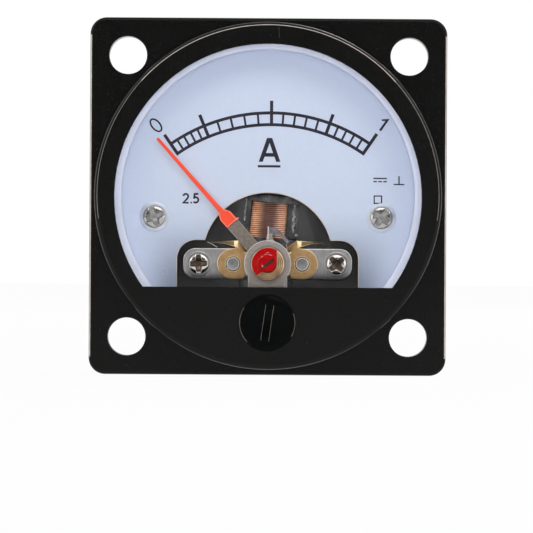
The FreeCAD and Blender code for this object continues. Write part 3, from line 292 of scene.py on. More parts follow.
def painted_shade_beside_movement(tree, place):
    """Painted shade: 1 on the dial low beside the movement, and 0 at its rim and above."""
    x, _, z = axes(tree, place)
    down = smooth_range(tree, calc(tree, "MULTIPLY", z, -1.0), 1.0 * MM, 13.5 * MM, 1.0)
    near = calc(tree, "MULTIPLY", calc(tree, "ABSOLUTE", x), -1.0)
    return calc(tree, "MULTIPLY", down, smooth_range(tree, near, -19.0 * MM, -12.0 * MM, 1.0))


def surface(name, colour, rough, metal=0.0, vary=0.08, scale=900.0, stretch=None, relief=0.0,
            specular=0.5, coat=0.0, shade=None):
    """A material whose colour, gloss and relief, in microns, vary; shade is (where, least) of painted shade.
    """
    made, tree, shader, place = blank(name)
    grain = noise(tree, place, scale, 4.0, stretch)
    low, high = [[min(1.0, part * share) for part in colour] for share in (1 - vary, 1 + vary)]
    skin = ramp_of(tree, grain, [(0.3, low), (0.7, high)])
    if shade:
        where, least = shade
        skin = darker(tree, skin, where(tree, place), least)
    rough_vary, coarser = 0.06, 0.23
    cloud = noise(tree, place, scale * coarser, 2.0, stretch)
    gloss = calc(tree, "MULTIPLY_ADD", cloud, 2 * rough_vary, rough - rough_vary)
    fill(tree, shader, Base_Color=skin, Roughness=gloss, Metallic=metal, Specular_IOR_Level=specular,
         Coat_Weight=coat, Coat_Roughness=0.08)
    if relief:
        bump(tree, shader, grain, relief * MICRON)
    return made


def window_material():
    """Clear plastic, and milky in the skirt that stands round the dial."""
    made, tree, shader, place = blank("window_clear")
    x, _, z = axes(tree, place)
    skirt = calc(tree, "GREATER_THAN", length_of(tree, x, z), WINDOW_SKIRT * MM)
    outside = calc(tree, "SUBTRACT", 1.0, node(tree, "NewGeometry").outputs["Backfacing"])
    gleam = calc(tree, "MULTIPLY", node(tree, "Fresnel", IOR=1.3).outputs[0], outside)
    haze = calc(tree, "MULTIPLY_ADD", noise(tree, place, 260.0), 0.25, 0.68)
    film = node(tree, "Mix")
    for index, value in ((0, skirt), (2, gleam), (3, haze)):
        tree.links.new(value, film.inputs[index])
    passed = calc(tree, "MULTIPLY_ADD", any_ray(tree, "Is Shadow Ray"), -0.85, 1.0)
    tint = ramp_of(tree, skirt, [(0.0, (1, 1, 1)), (1.0, (0.8, 0.84, 1.0))])
    fill(tree, shader, Alpha=calc(tree, "MULTIPLY", film.outputs[0], passed), Base_Color=tint,
         Metallic=calc(tree, "SUBTRACT", 1.0, skirt), Roughness=0.05)
    return made


def winding_material():
    """Enamelled copper wire, with painted shade in the grooves between its turns and along the middle, and
    painted highlight along each turn's crest.
    """
    made, tree, shader, place = blank("copper_wire")
    x, _, z = axes(tree, place)
    up = calc(tree, "SUBTRACT", z, PIVOT[1] * MM)
    rise = calc(tree, "ABSOLUTE", calc(tree, "MULTIPLY_ADD", x, -COIL_SLOPE, up))
    rise = calc(tree, "SUBTRACT", rise, COIL_START * MM)
    # Painted light and shade across each turn: dark in the grooves, bright on the crests
    wave = calc(tree, "COSINE", calc(tree, "MULTIPLY", rise, 2 * math.pi / (WIRE_PITCH * MM)))
    grain = noise(tree, place, 1500.0)
    level = calc(tree, "MULTIPLY_ADD", wave, 0.45, grain)
    colours = [(0.12, (0.38, 0.09, 0.045)), (0.5, (1.0, 0.42, 0.23)), (0.85, (1.0, 0.64, 0.42))]
    # Painted shade along the middle of the winding's front, lighter towards its sides
    axis = calc(tree, "MULTIPLY_ADD", up, math.tan(math.radians(COIL_LEAN)), COIL_SHIFT * MM)
    across = calc(tree, "ABSOLUTE", calc(tree, "SUBTRACT", x, axis))
    middle = calc(tree, "SUBTRACT", 1.0, smooth_range(tree, across, 0.5 * MM, 1.9 * MM, 1.0))
    skin = darker(tree, ramp_of(tree, level, colours), middle, (0.2, 0.165, 0.2))
    gloss = calc(tree, "MULTIPLY_ADD", grain, 0.1, 0.3)
    fill(tree, shader, Base_Color=skin, Roughness=gloss, Metallic=0.12)
    return made


def nut_material():
    """Turned brass with the rings that the tool left round the pivot; their dark and light bands of colour
    are painted shade and painted highlight.
    """
    made, tree, shader, place = blank("brass_turned")
    x, _, z = axes(tree, place)
    radius = length_of(tree, x, calc(tree, "SUBTRACT", z, PIVOT[1] * MM))
    ring_pitch = 0.27 * MM
    wave = calc(tree, "SINE", calc(tree, "MULTIPLY", radius, 2 * math.pi / ring_pitch))
    grain = noise(tree, place, 900.0)
    level = calc(tree, "MULTIPLY_ADD", wave, 0.3, grain)
    colours = [(0.15, (0.3, 0.17, 0.09)), (0.5, (0.6, 0.4, 0.23)), (0.9, (0.85, 0.64, 0.4))]
    gloss = calc(tree, "MULTIPLY_ADD", grain, 0.1, 0.27)
    fill(tree, shader, Base_Color=ramp_of(tree, level, colours), Roughness=gloss, Metallic=1.0)
    bump(tree, shader, level, 12 * MICRON)
    return made


def smeared_material(name, dark, light, rough, scale, relief):
    """Glossy plastic with smears of dried glue on it."""
    made, tree, shader, place = blank(name)
    cloud = noise(tree, place, scale, 5.0, (1, 1, 0.6), 0.62)
    fill(tree, shader, Base_Color=ramp_of(tree, cloud, [(0.42, dark), (0.72, light)]),
         Roughness=calc(tree, "MULTIPLY_ADD", cloud, 0.2, rough))
    bump(tree, shader, cloud, relief * MICRON)
    return made


# Colour, roughness, and what else sets a surface apart
SURFACES = {
    "cover_black": ((0.0042, 0.0042, 0.0038), 0.2, dict(relief=3, scale=1500, specular=0.16)),
    # Bright colours of the wires that paint highlights on the cover's edges
    "cover_painted_highlight": ((0.6, 0.53, 0.49), 0.3, dict(metal=0.9, vary=0.15)),
    "cover_painted_glint": ((0.22, 0.2, 0.19), 0.3, dict(metal=0.9, vary=0.15)),
    "cover_mark": ((0.03, 0.029, 0.028), 0.3, dict(vary=0.2)),
    # Bright colour of the wires that paint highlights on the adjuster's slot and rim
    "slot_painted_highlight": ((0.24, 0.21, 0.17), 0.35, dict(metal=0.5, vary=0.4)),
    "head_black": ((0.0015, 0.0018, 0.002), 0.3, dict(scale=1500, relief=3, specular=0.05)),
    "case_black": ((0.008, 0.008, 0.008), 0.36, dict(relief=10, scale=1800, specular=0.3)),
    "frame_black": ((0.042, 0.0415, 0.042), 0.2, dict(relief=30, scale=420)),
    # The dial's colour carries painted shade low beside the movement
    "dial_white": ((0.6, 0.665, 0.8), 0.5, dict(vary=0.015, scale=2500, relief=2, specular=0.3,
                                                shade=(painted_shade_beside_movement, (0.37, 0.39, 0.44)))),
    # The dial's bare cut edge, brightened into a painted highlight
    "dial_edge_highlight": ((0.75, 0.62, 0.5), 0.35, dict(metal=0.5, vary=0.15)),
    "ink": ((0.016, 0.013, 0.026), 0.45, dict(vary=0.2, specular=0.3)),
    "copper": ((0.62, 0.26, 0.15), 0.25, dict(metal=1.0)),
    "steel": ((0.36, 0.345, 0.345), 0.36, dict(metal=1.0, stretch=(1, 1, 0.06), scale=4000, relief=3)),
    # The bar's steel carries painted shade along its lower edge
    "bar_steel": ((0.43, 0.415, 0.415), 0.36, dict(metal=1.0, vary=0.12, stretch=(1, 1, 0.06), scale=4000,
                                                   relief=4, shade=(painted_shade_bar_bottom, (0.32, 0.32, 0.34)))),
    # A bright colour that paints highlights on edges, rims and thin wires
    "edge_painted_highlight": ((0.9, 0.88, 0.87), 0.34, dict(metal=0.7, vary=0.15, scale=1500)),
    "plated": ((0.68, 0.65, 0.62), 0.15, dict(metal=1.0, relief=12)),
    "screw_grey": ((0.47, 0.455, 0.435), 0.17, dict(metal=1.0, relief=12)),
    # A dark colour that paints shade in recesses and gaps
    "recess_painted_shade": ((0.08, 0.055, 0.04), 0.25, dict(metal=0.8, vary=0.5, relief=30)),
    "rivet_grey": ((0.38, 0.375, 0.37), 0.3, dict(metal=1.0, relief=10, scale=1800)),
    "washer_white": ((0.62, 0.66, 0.74), 0.3, dict(metal=0.4, relief=4)),
    "washer_pink": ((0.42, 0.26, 0.22), 0.3, dict(metal=0.9, vary=0.15)),
    "brass": ((0.46, 0.285, 0.125), 0.36, dict(metal=0.6, vary=0.14, relief=6, scale=2600)),
    # Darker and brighter copies of brass: painted shade and painted highlight
    "brass_painted_shade": ((0.17, 0.12, 0.05), 0.4, dict(metal=0.6, vary=0.3)),
    "brass_painted_highlight": ((0.95, 0.7, 0.4), 0.3, dict(metal=0.9, vary=0.15)),
    # A dark colour that paints shade in a slot
    "slot_painted_shade": ((0.08, 0.028, 0.02), 0.4, dict(metal=0.5, vary=0.4)),
    "lacquer": ((0.43, 0.001, 0.002), 0.2, dict(relief=50, scale=1100, specular=0.07)),
    # A pale copy of the lacquer that paints glare on its ripples
    "lacquer_pale": ((0.75, 0.3, 0.32), 0.25, dict(vary=0.2, relief=30)),
    "lever_grey": ((0.45, 0.395, 0.36), 0.38, dict(metal=1.0, vary=0.14, stretch=(0.1, 1, 1), scale=4000,
                                                   relief=3)),
    "strip_grey": ((0.27, 0.255, 0.28), 0.34, dict(metal=0.8, vary=0.3, scale=1500)),
    "spring_bronze": ((0.7, 0.5, 0.33), 0.25, dict(metal=1.0)),
    "arm_grey": ((0.2, 0.165, 0.14), 0.5, dict(metal=0.3, vary=0.25, relief=10, scale=2600)),
    # A lighter copy of the arm's grey that paints a highlight on its edges
    "arm_painted_highlight": ((0.45, 0.42, 0.38), 0.4, dict(metal=0.5, vary=0.2)),
    "pointer_red": ((1.0, 0.085, 0.035), 0.35, dict(vary=0.05, relief=10, scale=1500, specular=0.25)),
    # A lighter copy of the pointer's red that paints highlights on its rims and nub
    "pointer_painted_highlight": ((1.0, 0.28, 0.18), 0.3, dict(vary=0.1, relief=10, scale=1500)),
    "magnet": ((0.1, 0.1, 0.1), 0.5, dict(metal=0.6, relief=20)),
    "jewel": ((0.6, 0.05, 0.12), 0.1, dict(coat=0.5)),
    # The red lead is darkened far below its red: painted shade where it shows between coil and frame
    "lead_red": ((0.07, 0.008, 0.008), 0.5, dict(relief=8)),
    "lead_black": ((0.01, 0.01, 0.01), 0.5, dict(relief=8)),
}
MATERIALS = {name: surface(name, colour, rough, **rest) for name, (colour, rough, rest) in SURFACES.items()}
MATERIALS["window_clear"] = window_material()
MATERIALS["copper_wire"] = winding_material()
MATERIALS["brass_turned"] = nut_material()
for name, *looks in (("bobbin_black", (0.028, 0.027, 0.028), (0.14, 0.14, 0.145), 0.15, 520.0, 40),
                     ("glue", (0.2, 0.2, 0.21), (0.8, 0.8, 0.82), 0.12, 1500.0, 50)):
    MATERIALS[name] = smeared_material(name, *looks)

# Each node's material slot from the record, and that slot's material put on the node
SLOT_OF = {entry["node"]: entry["material_slot"] for entry in frame["record"]["subparts"]}
for part, slot in SLOT_OF.items():
    mesh = nodes[part].data
    mesh.materials.clear()
    mesh.materials.append(MATERIALS[slot])


# Shapes

def finish_piece(name, mesh, material, body, replaces=(), sharp=35.0, extra=()):
    """Puts a mesh into the scene as a piece that rides on a body, in place of nodes if named."""
    shape = bmesh.new()
    shape.from_mesh(mesh)
    bmesh.ops.remove_doubles(shape, verts=shape.verts, dist=1e-7)
    bmesh.ops.recalc_face_normals(shape, faces=shape.faces)
    limit = math.radians(sharp)
    for face in shape.faces:
        face.smooth = True
    for edge in shape.edges:
        edge.smooth = len(edge.link_faces) != 2 or edge.calc_face_angle() < limit
    shape.to_mesh(mesh)
    shape.free()
    for key in (material, *extra):
        mesh.materials.append(MATERIALS[key])
    thing = put(name, mesh)
    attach(thing, body)
    if replaces:
        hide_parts(*replaces)
    return thing


def from_points(name, points, faces, material, body="case", **options):
    """A piece from points, each with its depth, and their faces."""
    mesh = bpy.data.meshes.new(name)
    mesh.from_pydata([at(*point) for point in points], [], faces)
    return finish_piece(name, mesh, material, body, **options)


def grid_faces(rows, columns, capped=False):
    """Quads between rows of points that close round, and a face at each end if asked."""
    faces = []
    for row in range(rows - 1):
        here, there = row * columns, (row + 1) * columns
        for column in range(columns):
            after = (column + 1) % columns
            faces.append((here + column, here + after, there + after, there + column))
    if capped:
        faces += [tuple(range(columns))[::-1], tuple(range((rows - 1) * columns, rows * columns))]
    return faces


def round_piece(name, rings, centre, material, **options):
    """A piece from rings of (radius, depth) pairs, one pair for each step round an axis."""
    steps = len(rings[0])
    points = []
    for ring in rings:
        for step, (radius, depth) in enumerate(ring):
            turn = 2 * math.pi * step / steps
            points.append((centre[0] + radius * math.cos(turn), centre[1] + radius * math.sin(turn), depth))
    return from_points(name, points, grid_faces(len(rings), steps), material, **options)


def turned(name, profile, centre, material, steps=96, **options):
    """A piece turned from a closed profile of (radius, depth) round an axis through the face."""
    rings = [[pair] * steps for pair in (*profile, profile[0])]
    round_piece(name, rings, centre, material, **options)


def arc(centre, radius, start, end, steps):
    """Points of an arc, anticlockwise from the right."""
    turns = [math.radians(start + (end - start) * step / steps) for step in range(steps + 1)]
    return [(centre[0] + radius * math.cos(t), centre[1] + radius * math.sin(t)) for t in turns]


def rectangle(x0, y0, x1, y1):
    """The corners of a rectangle."""
    return [(x0, y0), (x1, y0), (x1, y1), (x0, y1)]


def flat_piece(name, loops, rear, front, material, body="case", edge=0.05, steps=2, **options):
    """A sheet with rounded edges from closed loops, the first outside and the rest holes."""
    curve = bpy.data.curves.new(name, "CURVE")
    curve.dimensions, curve.fill_mode = "2D", "BOTH"
    curve.extrude = (front - rear) / 2 * MM - edge * MM
    curve.bevel_depth, curve.bevel_resolution = edge * MM, steps
    curve.offset = -edge * MM
    for loop in loops:
        spline = curve.splines.new("POLY")
        spline.points.add(len(loop) - 1)
        for point, (x, y) in zip(spline.points, loop):
            point.co = (x * MM, y * MM, 0, 1)
        spline.use_cyclic_u = True
    source = put(name + "_source", curve)
    mesh = bpy.data.meshes.new_from_object(source.evaluated_get(bpy.context.evaluated_depsgraph_get()))
    bpy.data.objects.remove(source)
    place = Matrix.Translation(at(0, 0, (front + rear) / 2)) @ Matrix.Rotation(math.radians(90), 4, "X")
    mesh.transform(place)
    return finish_piece(name, mesh, material, body, **options)


def wire(name, path, radius, material, body="case", sides=8, sharp=60.0, **options):
    """A round wire along a path of points with their depths."""
    points, line = [], [Vector(p) for p in path]
    side = None
    for index, here in enumerate(line):
        along = (line[min(index + 1, len(line) - 1)] - line[max(index - 1, 0)]).normalized()
        if side is None:
            side = along.orthogonal().normalized()
        side = (side - along * side.dot(along)).normalized()
        other = along.cross(side)
        for step in range(sides):
            turn = 2 * math.pi * step / sides
            points.append(tuple(here + radius * (math.cos(turn) * side + math.sin(turn) * other)))
    from_points(name, points, grid_faces(len(line), sides, True), material, body, sharp=sharp, **options)


def own_shape(part):
    """A node's own mesh with its double points merged."""
    shape = bmesh.new()
    shape.from_mesh(nodes[part].data)
    bmesh.ops.remove_doubles(shape, verts=shape.verts, dist=1e-7)
    return shape


def cut_large_faces(shape):
    """Cuts faces of more than four corners into triangles."""
    bmesh.ops.triangulate(shape, faces=[face for face in shape.faces if len(face.verts) > 4])


def rounded_copy(part, width, material=None, extra=(), bend=None, clamp=False):
    """The node's own shape, rounded where it is sharp and then bent, in place of the node.

    The rounded edges take the first of the extra materials, if there are any.
    """
    flat, sharp = math.radians(0.5), math.radians(30)
    shape = own_shape(part)
    bmesh.ops.dissolve_limit(shape, angle_limit=flat, verts=shape.verts, edges=shape.edges)
    edges = [e for e in shape.edges if len(e.link_faces) == 2 and e.calc_face_angle() > sharp]
    made = bmesh.ops.bevel(shape, geom=edges, offset=width * MM, segments=2, profile=0.5,
                           affect="EDGES", clamp_overlap=clamp)
    for face in shape.faces:
        face.material_index = 0
    if extra:
        for face in made["faces"]:
            face.material_index = 1
    if bend:
        cut_large_faces(shape)
        bend(shape)
    cut_large_faces(shape)
    mesh = bpy.data.meshes.new(part + "_piece")
    shape.to_mesh(mesh)
    shape.free()
    finish_piece(part + "_piece", mesh, material or SLOT_OF[part], nodes[part]["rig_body"],
                 replaces=(part,), extra=extra)


def sheet_copy(part, edge, rim, material=None, lowest=-2.0):
    """A flat node's own outline as a sheet with well rounded edges, in place of the node.

    The rounded edge takes the rim material where its normal points up more than lowest.
    """
    shape = own_shape(part)
    depths = [-vert.co.y / MM for vert in shape.verts]
    rear, front = min(depths), max(depths)
    face = {f for f in shape.faces if f.normal.y < -0.99 and -f.calc_center_median().y / MM > front - 0.001}
    ways = {}
    for item in face:
        for loop in item.loops:
            if not any(other in face for other in loop.edge.link_faces if other is not item):
                ways[loop.vert] = loop.link_loop_next.vert
    outlines = []
    while ways:
        first, here = next(iter(ways.items()))
        del ways[first]
        outline = [first]
        while here is not first:
            outline.append(here)
            here = ways.pop(here)
        outlines.append([(vert.co.x / MM, vert.co.z / MM) for vert in outline])
    shape.free()
    thing = flat_piece(part + "_piece", outlines, rear, front, material or SLOT_OF[part],
                       nodes[part]["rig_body"], edge, 3, replaces=(part,))
    thing.data.materials.append(MATERIALS[rim])
    for polygon in thing.data.polygons:
        polygon.material_index = int(polygon.normal.y > -0.985 and polygon.normal.z > lowest)


def smooth_step(value):
    """0 below 0, 1 above 1, and a soft ramp between."""
    value = max(0.0, min(1.0, value))
    return value * value * (3 - 2 * value)


def turned_point(x, y, degrees):
    """A point turned anticlockwise round the origin."""
    lean = math.radians(degrees)
    return x * math.cos(lean) - y * math.sin(lean), x * math.sin(lean) + y * math.cos(lean)


def cross_recess(radius, depth, turn):
    """How deep a cross recess is at each point of a head."""
    arm, width = 0.82 * radius, 0.5 * radius

    def sunk(x, y):
        u, v = turned_point(x, y, -turn)
        deepest = 0.0
        for along, across in ((u, v), (v, u)):
            mouth = width / 2 * (1.12 - 0.3 * abs(along) / arm)
            wall = smooth_step((mouth - abs(across)) / (0.13 * radius) + 0.5)
            end = smooth_step((arm - abs(along)) / (0.22 * radius) + 0.5)
            floor = 1 - 0.5 * smooth_step(abs(along) / arm)
            deepest = max(deepest, wall * end * floor)
        return depth * deepest

    return sunk


def slot_recess(width, depth, turn):
    """How deep a straight slot is at each point of a head."""
    def sunk(x, y):
        across = turned_point(x, y, -turn)[1]
        return depth * smooth_step((width / 2 - abs(across)) / (0.2 * width) + 0.5)

    return sunk


def recessed_head(name, part, centre, seat, radius, height, sunk, material, dark, flat=0.62):
    """A pan head as a fine polar grid, sunk by a recess; dark is (depth, material) of painted shade on its
    floor.
    """
    rings, steps = 60, 144
    rows = []
    for ring in range(rings + 1):
        r = radius * (1 - (1 - ring / rings) ** 1.3)
        dome = height * (flat + (1 - flat) * math.sqrt(max(0.0, 1 - (r / radius) ** 3)))
        row = []
        for step in range(steps):
            turn = 2 * math.pi * step / steps
            row.append((r, seat + dome - sunk(r * math.cos(turn), r * math.sin(turn))))
        rows.append(row)
    for r, depth in ((radius, seat + 0.3 * height), (radius, seat), (0.0, seat)):
        rows.append([(r, depth)] * steps)
    level, floor = dark
    thing = round_piece(name, rows, centre, material, replaces=(part,), sharp=50.0, extra=(floor,))
    middle = at(*centre, 0.0)
    for face in thing.data.polygons:
        spot = face.center - middle
        inside = math.hypot(spot.x, spot.z) < 0.97 * radius * MM
        if inside and seat * MM < -spot.y < level * MM:
            face.material_index = 1


def hex_piece(name, centre, rear, front, flats, bore, material, **options):
    """A hexagon nut or head with turned chamfers, bored through if bore isn't 0."""
    steps, chamfer = 96, 0.93
    corner = flats / 2 / math.cos(math.radians(30))
    face = flats / 2 * chamfer

    def ring(depth):
        inward = min(depth - rear, front - depth)
        row = []
        for step in range(steps):
            turn = (360 * step / steps) % 60 - 30
            flat = flats / 2 / math.cos(math.radians(turn))
            row.append((min(flat, face + inward / math.tan(math.radians(30)), corner), depth))
        return row

    slope = (corner - face) * math.tan(math.radians(30))
    levels = [slope * share / 6 for share in range(7)]
    depths = [rear + level for level in levels] + [front - level for level in reversed(levels)]
    rows = [[(bore, rear)] * steps] + [ring(depth) for depth in depths] + [[(bore, front)] * steps]
    if bore:
        rows.append(rows[0])
    round_piece(name, rows, centre, material, **options)


def threaded_rod(name, centre, rear, front, radius, pitch, plain, material, **options):
    """A rod with a cut thread from its rear end to where its plain shank begins."""
    steps, slices = 40, 10
    root = radius - 0.6 * pitch
    rows = [[(0.0, rear)] * steps]
    count = int((plain - rear) / pitch * slices)
    for index in range(count + 1):
        depth = rear + pitch * index / slices
        row = []
        for step in range(steps):
            phase = (index / slices + step / steps) % 1.0
            ridge = 1 - abs(2 * phase - 1)
            start = radius - 0.45 + 1.2 * (depth - rear)
            row.append((min(root + (radius - root) * smooth_step(1.25 * ridge), start), depth))
        rows.append(row)
    rows += [[(root, plain + 0.05)] * steps, [(root, front)] * steps, [(0.0, front)] * steps]
    round_piece(name, rows, centre, material, sharp=60.0, **options)


def stroke(path, width):
    """The outline of a pen stroke of one width along a path."""
    left, right = [], []
    for index, (x, y) in enumerate(path):
        x0, y0 = path[max(index - 1, 0)]
        x1, y1 = path[min(index + 1, len(path) - 1)]
        along_in, along_out = Vector((x - x0, y - y0)), Vector((x1 - x, y1 - y))
        along_in = along_in.normalized() if along_in.length else along_out.normalized()
        along_out = along_out.normalized() if along_out.length else along_in
        along = (along_in + along_out).normalized()
        reach = width / 2 / max(0.5, along.dot(along_in))
        left.append((x - along.y * reach, y + along.x * reach))
        right.append((x + along.y * reach, y - along.x * reach))
    return left + right[::-1]


def ribbon(name, spine, width, height, depth, seed, material):
    """An uneven dab of glue or lacquer along a line on the face."""
    rolls = random.Random(seed)
    profile = ((-1, 0), (-0.6, 0.75), (0, 1), (0.6, 0.7), (1, 0))
    points = []
    for index, (x, y) in enumerate(spine):
        x1, y1 = spine[min(index + 1, len(spine) - 1)]
        x0, y0 = spine[max(index - 1, 0)]
        along = Vector((x1 - x0, y1 - y0)).normalized()
        end = 0.15 if index in (0, len(spine) - 1) else 1.0
        half = width / 2 * end * rolls.uniform(0.5, 1.4)
        x += rolls.uniform(-0.25, 0.25) * width
        rise = height * end * rolls.uniform(0.6, 1.2)
        for across, up in profile:
            points.append((x - along.y * half * across, y + along.x * half * across, depth + rise * up))
    from_points(name, points, grid_faces(len(spine), len(profile), True), material, sharp=80.0)


# Pieces

def winding_loop():
    """One turn of the wire as (x, depth) pairs, from the middle of the rear and bulged at the front."""
    flat, corner, bulge, front, rear = 2.1, 0.45, 0.4, -0.54, -7.26
    slope = math.atan(2 * bulge / flat)
    middle = (flat - corner * math.sin(slope), front - bulge - corner * math.cos(slope))
    side = middle[0] + corner
    half = [(0.0, rear), (side - 0.4, rear), (side - 0.12, rear + 0.12), (side, rear + 0.4)]
    for step in range(6, 0, -1):
        turn = slope + (math.pi / 2 - slope) * step / 6
        half.append((middle[0] + corner * math.sin(turn), middle[1] + corner * math.cos(turn)))
    half += [(flat * step / 12, front - bulge * (step / 12) ** 2) for step in range(12, -1, -1)]
    return half + [(-x, depth) for x, depth in reversed(half[1:-1])]


def dress_winding(name, up):
    """Enamelled wire wound round the bobbin, turn on turn."""
    turns, radius = 18, 0.136
    rolls = random.Random(5)
    loop = winding_loop()
    path = []
    for turn in range(turns):
        wider = rolls.uniform(0.985, 1.015)
        for step, (x, depth) in enumerate(loop):
            level = turn - 1 + smooth_step(16 * step / len(loop)) if turn else 0.0
            rise = up * (COIL_START + WIRE_PITCH * level)
            x = x * wider + COIL_SHIFT + rise * math.tan(math.radians(COIL_LEAN))
            path.append((x, PIVOT[1] + rise + COIL_SLOPE * x, depth))
    wire(f"winding_{name}", path, radius, "copper_wire", sides=10, sharp=35.0, replaces=(f"coil_{name}",))


def dress_screws():
    """Cross-headed screws of the bar and the dial, with their washers and painted shade in their recesses.
    """
    dial_washer = [(1.5, 2.6), (2.0, 2.6), (2.05, 2.64), (2.05, 2.76), (1.98, 2.8), (1.5, 2.8)]
    bar_washer = [(1.4, 1.58), (1.78, 1.58), (1.78, 1.66), (1.7, 1.7), (1.4, 1.7)]
    for side, sign, bar_turn, dial_turn in (("left", -1, 2, 20), ("right", 1, 42, 55)):
        spot = (sign * BAR_SCREW_X, PIVOT[1])
        recessed_head(f"bar_screw_{side}_head", f"bar_screw_{side}", spot, 1.6, 1.45, 0.85,
                      cross_recess(1.45, 0.6, bar_turn), "plated", (2.1, "recess_painted_shade"))
        turned(f"bar_washer_{side}", bar_washer, spot, "rivet_grey")
        spot = (sign * DIAL_SCREW_X, DIAL_SCREW_Y)
        recessed_head(f"dial_screw_{side}_head", f"dial_screw_{side}", spot, 2.75, 1.58, 0.8,
                      cross_recess(1.6, 0.42, dial_turn), "screw_grey", (3.3, "rivet_grey"))
        turned(f"dial_washer_{side}", dial_washer, spot, "washer_white")


def dress_rivets():
    """The flat rivets of the bridge's ears, with a painted highlight on their rims and on the rings round
    them, and a ring of painted shade between.
    """
    head = [(0.0, 2.38), (0.12, 2.38), (0.18, 2.42), (0.7, 2.43), (0.82, 2.41), (0.9, 2.34), (0.93, 2.22),
            (0.93, 1.9), (0.0, 1.9)]
    rings = (
        ("ear_ring_highlight", [(1.02, 2.08), (1.16, 2.08), (1.14, 2.15), (1.05, 2.15)], "brass_painted_highlight"),
        ("rivet_gap_shade", [(0.92, 2.08), (1.01, 2.08), (1.01, 2.13), (0.92, 2.13)], "recess_painted_shade"),
        ("rivet_rim_highlight", [(0.78, 2.36), (0.9, 2.36), (0.91, 2.43), (0.86, 2.47), (0.79, 2.46)], "edge_painted_highlight"),
    )
    for side, x in (("left", -EAR_X), ("right", EAR_X)):
        spot = (x, PIVOT[1])
        turned(f"bridge_rivet_{side}_head", head, spot, "rivet_grey", replaces=(f"bridge_rivet_{side}",),
               sharp=25.0)
        for name, profile, skin in rings:
            turned(f"{name}_{side}", profile, spot, skin, steps=64)


def dress_bearing():
    """The turned nut with its tool marks, the painted pivot screw with painted shade in its slot, and the
    lacquer with pale ripples of painted glare on it.
    """
    bore, edge, rings = 1.08, 2.2, 6
    profile = [(1.05, 5.45), (1.05, 6.06)]
    for ring in range(rings):
        inner = bore + (edge - bore) * ring / rings
        outer = bore + (edge - bore) * (ring + 1) / rings
        profile += [(inner + 0.02, 6.1), (outer - 0.05, 6.105), (outer, 6.07)]
    profile += [(2.24, 6.1), (2.3, 6.08), (2.35, 6.02), (2.35, 5.45)]
    turned("bearing_nut_turned", profile, PIVOT, "brass_turned", replaces=("bearing_nut",), sharp=20.0)
    recessed_head("bearing_screw_painted", "front_bearing_screw", PIVOT, 5.5, 1.05, 1.0,
                  slot_recess(0.4, 0.36, 33.7), "lacquer", (6.3, "slot_painted_shade"), 0.9)
    outline = [(-0.62, -1.06)] + arc((0, 0), 1.22, -121, -8, 24)
    outline += [(1.27, 0.1), (1.27, 1.66)] + arc((0.05, 0.03), 2.24, 56, 225, 48)
    flat_piece("lacquer_coat", [around_pivot(outline), arc(PIVOT, 1.0, 0, 355, 71)], 6.09, 6.24, "lacquer",
               edge=0.045, steps=3, replaces=("locking_lacquer",))
    # Radius, start, end, width, height, depth and seed of each ripple, whose pale colour paints glare
    ripples = ((1.3, 62, 84, 0.1, 0.05, 6.235, 0), (1.36, 88, 112, 0.1, 0.05, 6.235, 1),
               (1.28, 118, 138, 0.1, 0.05, 6.235, 2), (1.6, 84, 100, 0.1, 0.05, 6.235, 3),
               (0.8, 168, 215, 0.26, 0.04, 6.44, 7))
    for index, (radius, start, end, *form) in enumerate(ripples):
        ribbon(f"lacquer_glare_ripple_{index + 1}", arc(PIVOT, radius, start, end, 8), *form, "lacquer_pale")
    rim = [(2.38, 5.2), (2.49, 5.2), (2.49, 5.3), (2.44, 5.33), (2.38, 5.3)]
    turned("washer_rim", rim, PIVOT, "washer_pink")
    fillet = [(1.02, 6.2), (1.02, 6.4), (1.08, 6.38), (1.15, 6.31), (1.2, 6.24), (1.2, 6.2)]
    turned("lacquer_fillet", fillet, PIVOT, "lacquer", steps=72)


def dress_lever():
    """The zero lever: ring and tongue in one sheet, an upright fin, and the spring's strip, with painted
    highlight wires along its rims and tongue and the fin in the painted highlight colour.
    """
    body, bright, face = "zero_lever_arm", "edge_painted_highlight", 5.24
    ring, bore, half_tongue, low = 3.3, 2.5, 2.75, -3.95
    meet = math.degrees(math.acos(half_tongue / ring))
    tab = math.degrees(math.acos(0.84 / ring))
    outline = arc((0, 0), ring, -meet, tab, 40)
    outline += [(0.66, 3.6), (0.58, 4.2), (-0.05, 4.2), (-0.2, 3.6)]
    outline += arc((0, 0), ring, 94, 180 + meet, 44)
    outline += [(-half_tongue, low), (half_tongue, low)]
    loops = [around_pivot(outline), arc(PIVOT, bore, 0, 357, 119)]
    flat_piece("lever_sheet", loops, 4.96, 5.26, "lever_grey", body, 0.09, 3, replaces=("zero_lever",))
    for name, spots in (("inner", arc(PIVOT, bore + 0.07, 0, 360, 120)),
                        ("outer", arc(PIVOT, ring - 0.06, -28, 208, 90))):
        wire(f"lever_rim_highlight_{name}", lifted(spots, face), 0.045, bright, body)
    fin = [(-0.04, 3.5), (0.1, 3.5), (0.12, 5.25), (-0.02, 5.27)]
    fold = [(0.0, 3.3), (0.98, 3.2), (0.72, 3.5), (0.62, 3.9), (0.66, 4.2), (0.0, 4.3)]
    strip = [(0.06, 4.1), (0.08, 5.1), (0.3, 5.16), (0.98, 5.12), (1.9, 4.5), (2.6, 3.66), (3.02, 3.12),
             (2.66, 2.95), (2.18, 3.42), (1.78, 4.0), (1.25, 4.06), (0.8, 3.95), (0.6, 3.9)]
    for name, loop, rear, front, skin in (("fin", fin, 3.8, 5.3, bright),
                                          ("fold", fold, 3.85, 5.2, "lever_grey"),
                                          ("strip", strip, 3.8, 4.08, "strip_grey")):
        flat_piece(f"lever_{name}", [around_pivot(loop)], rear, front, skin, body)
    for index, (x, top) in enumerate(((-2.68, -1.95), (2.68, -1.95), (2.38, -2.6))):
        spots = around_pivot([(x, y) for y in (top, -2.9, low + 0.08)])
        wire(f"lever_highlight_line_{index + 1}", lifted(spots, 5.25), 0.032, bright, body)


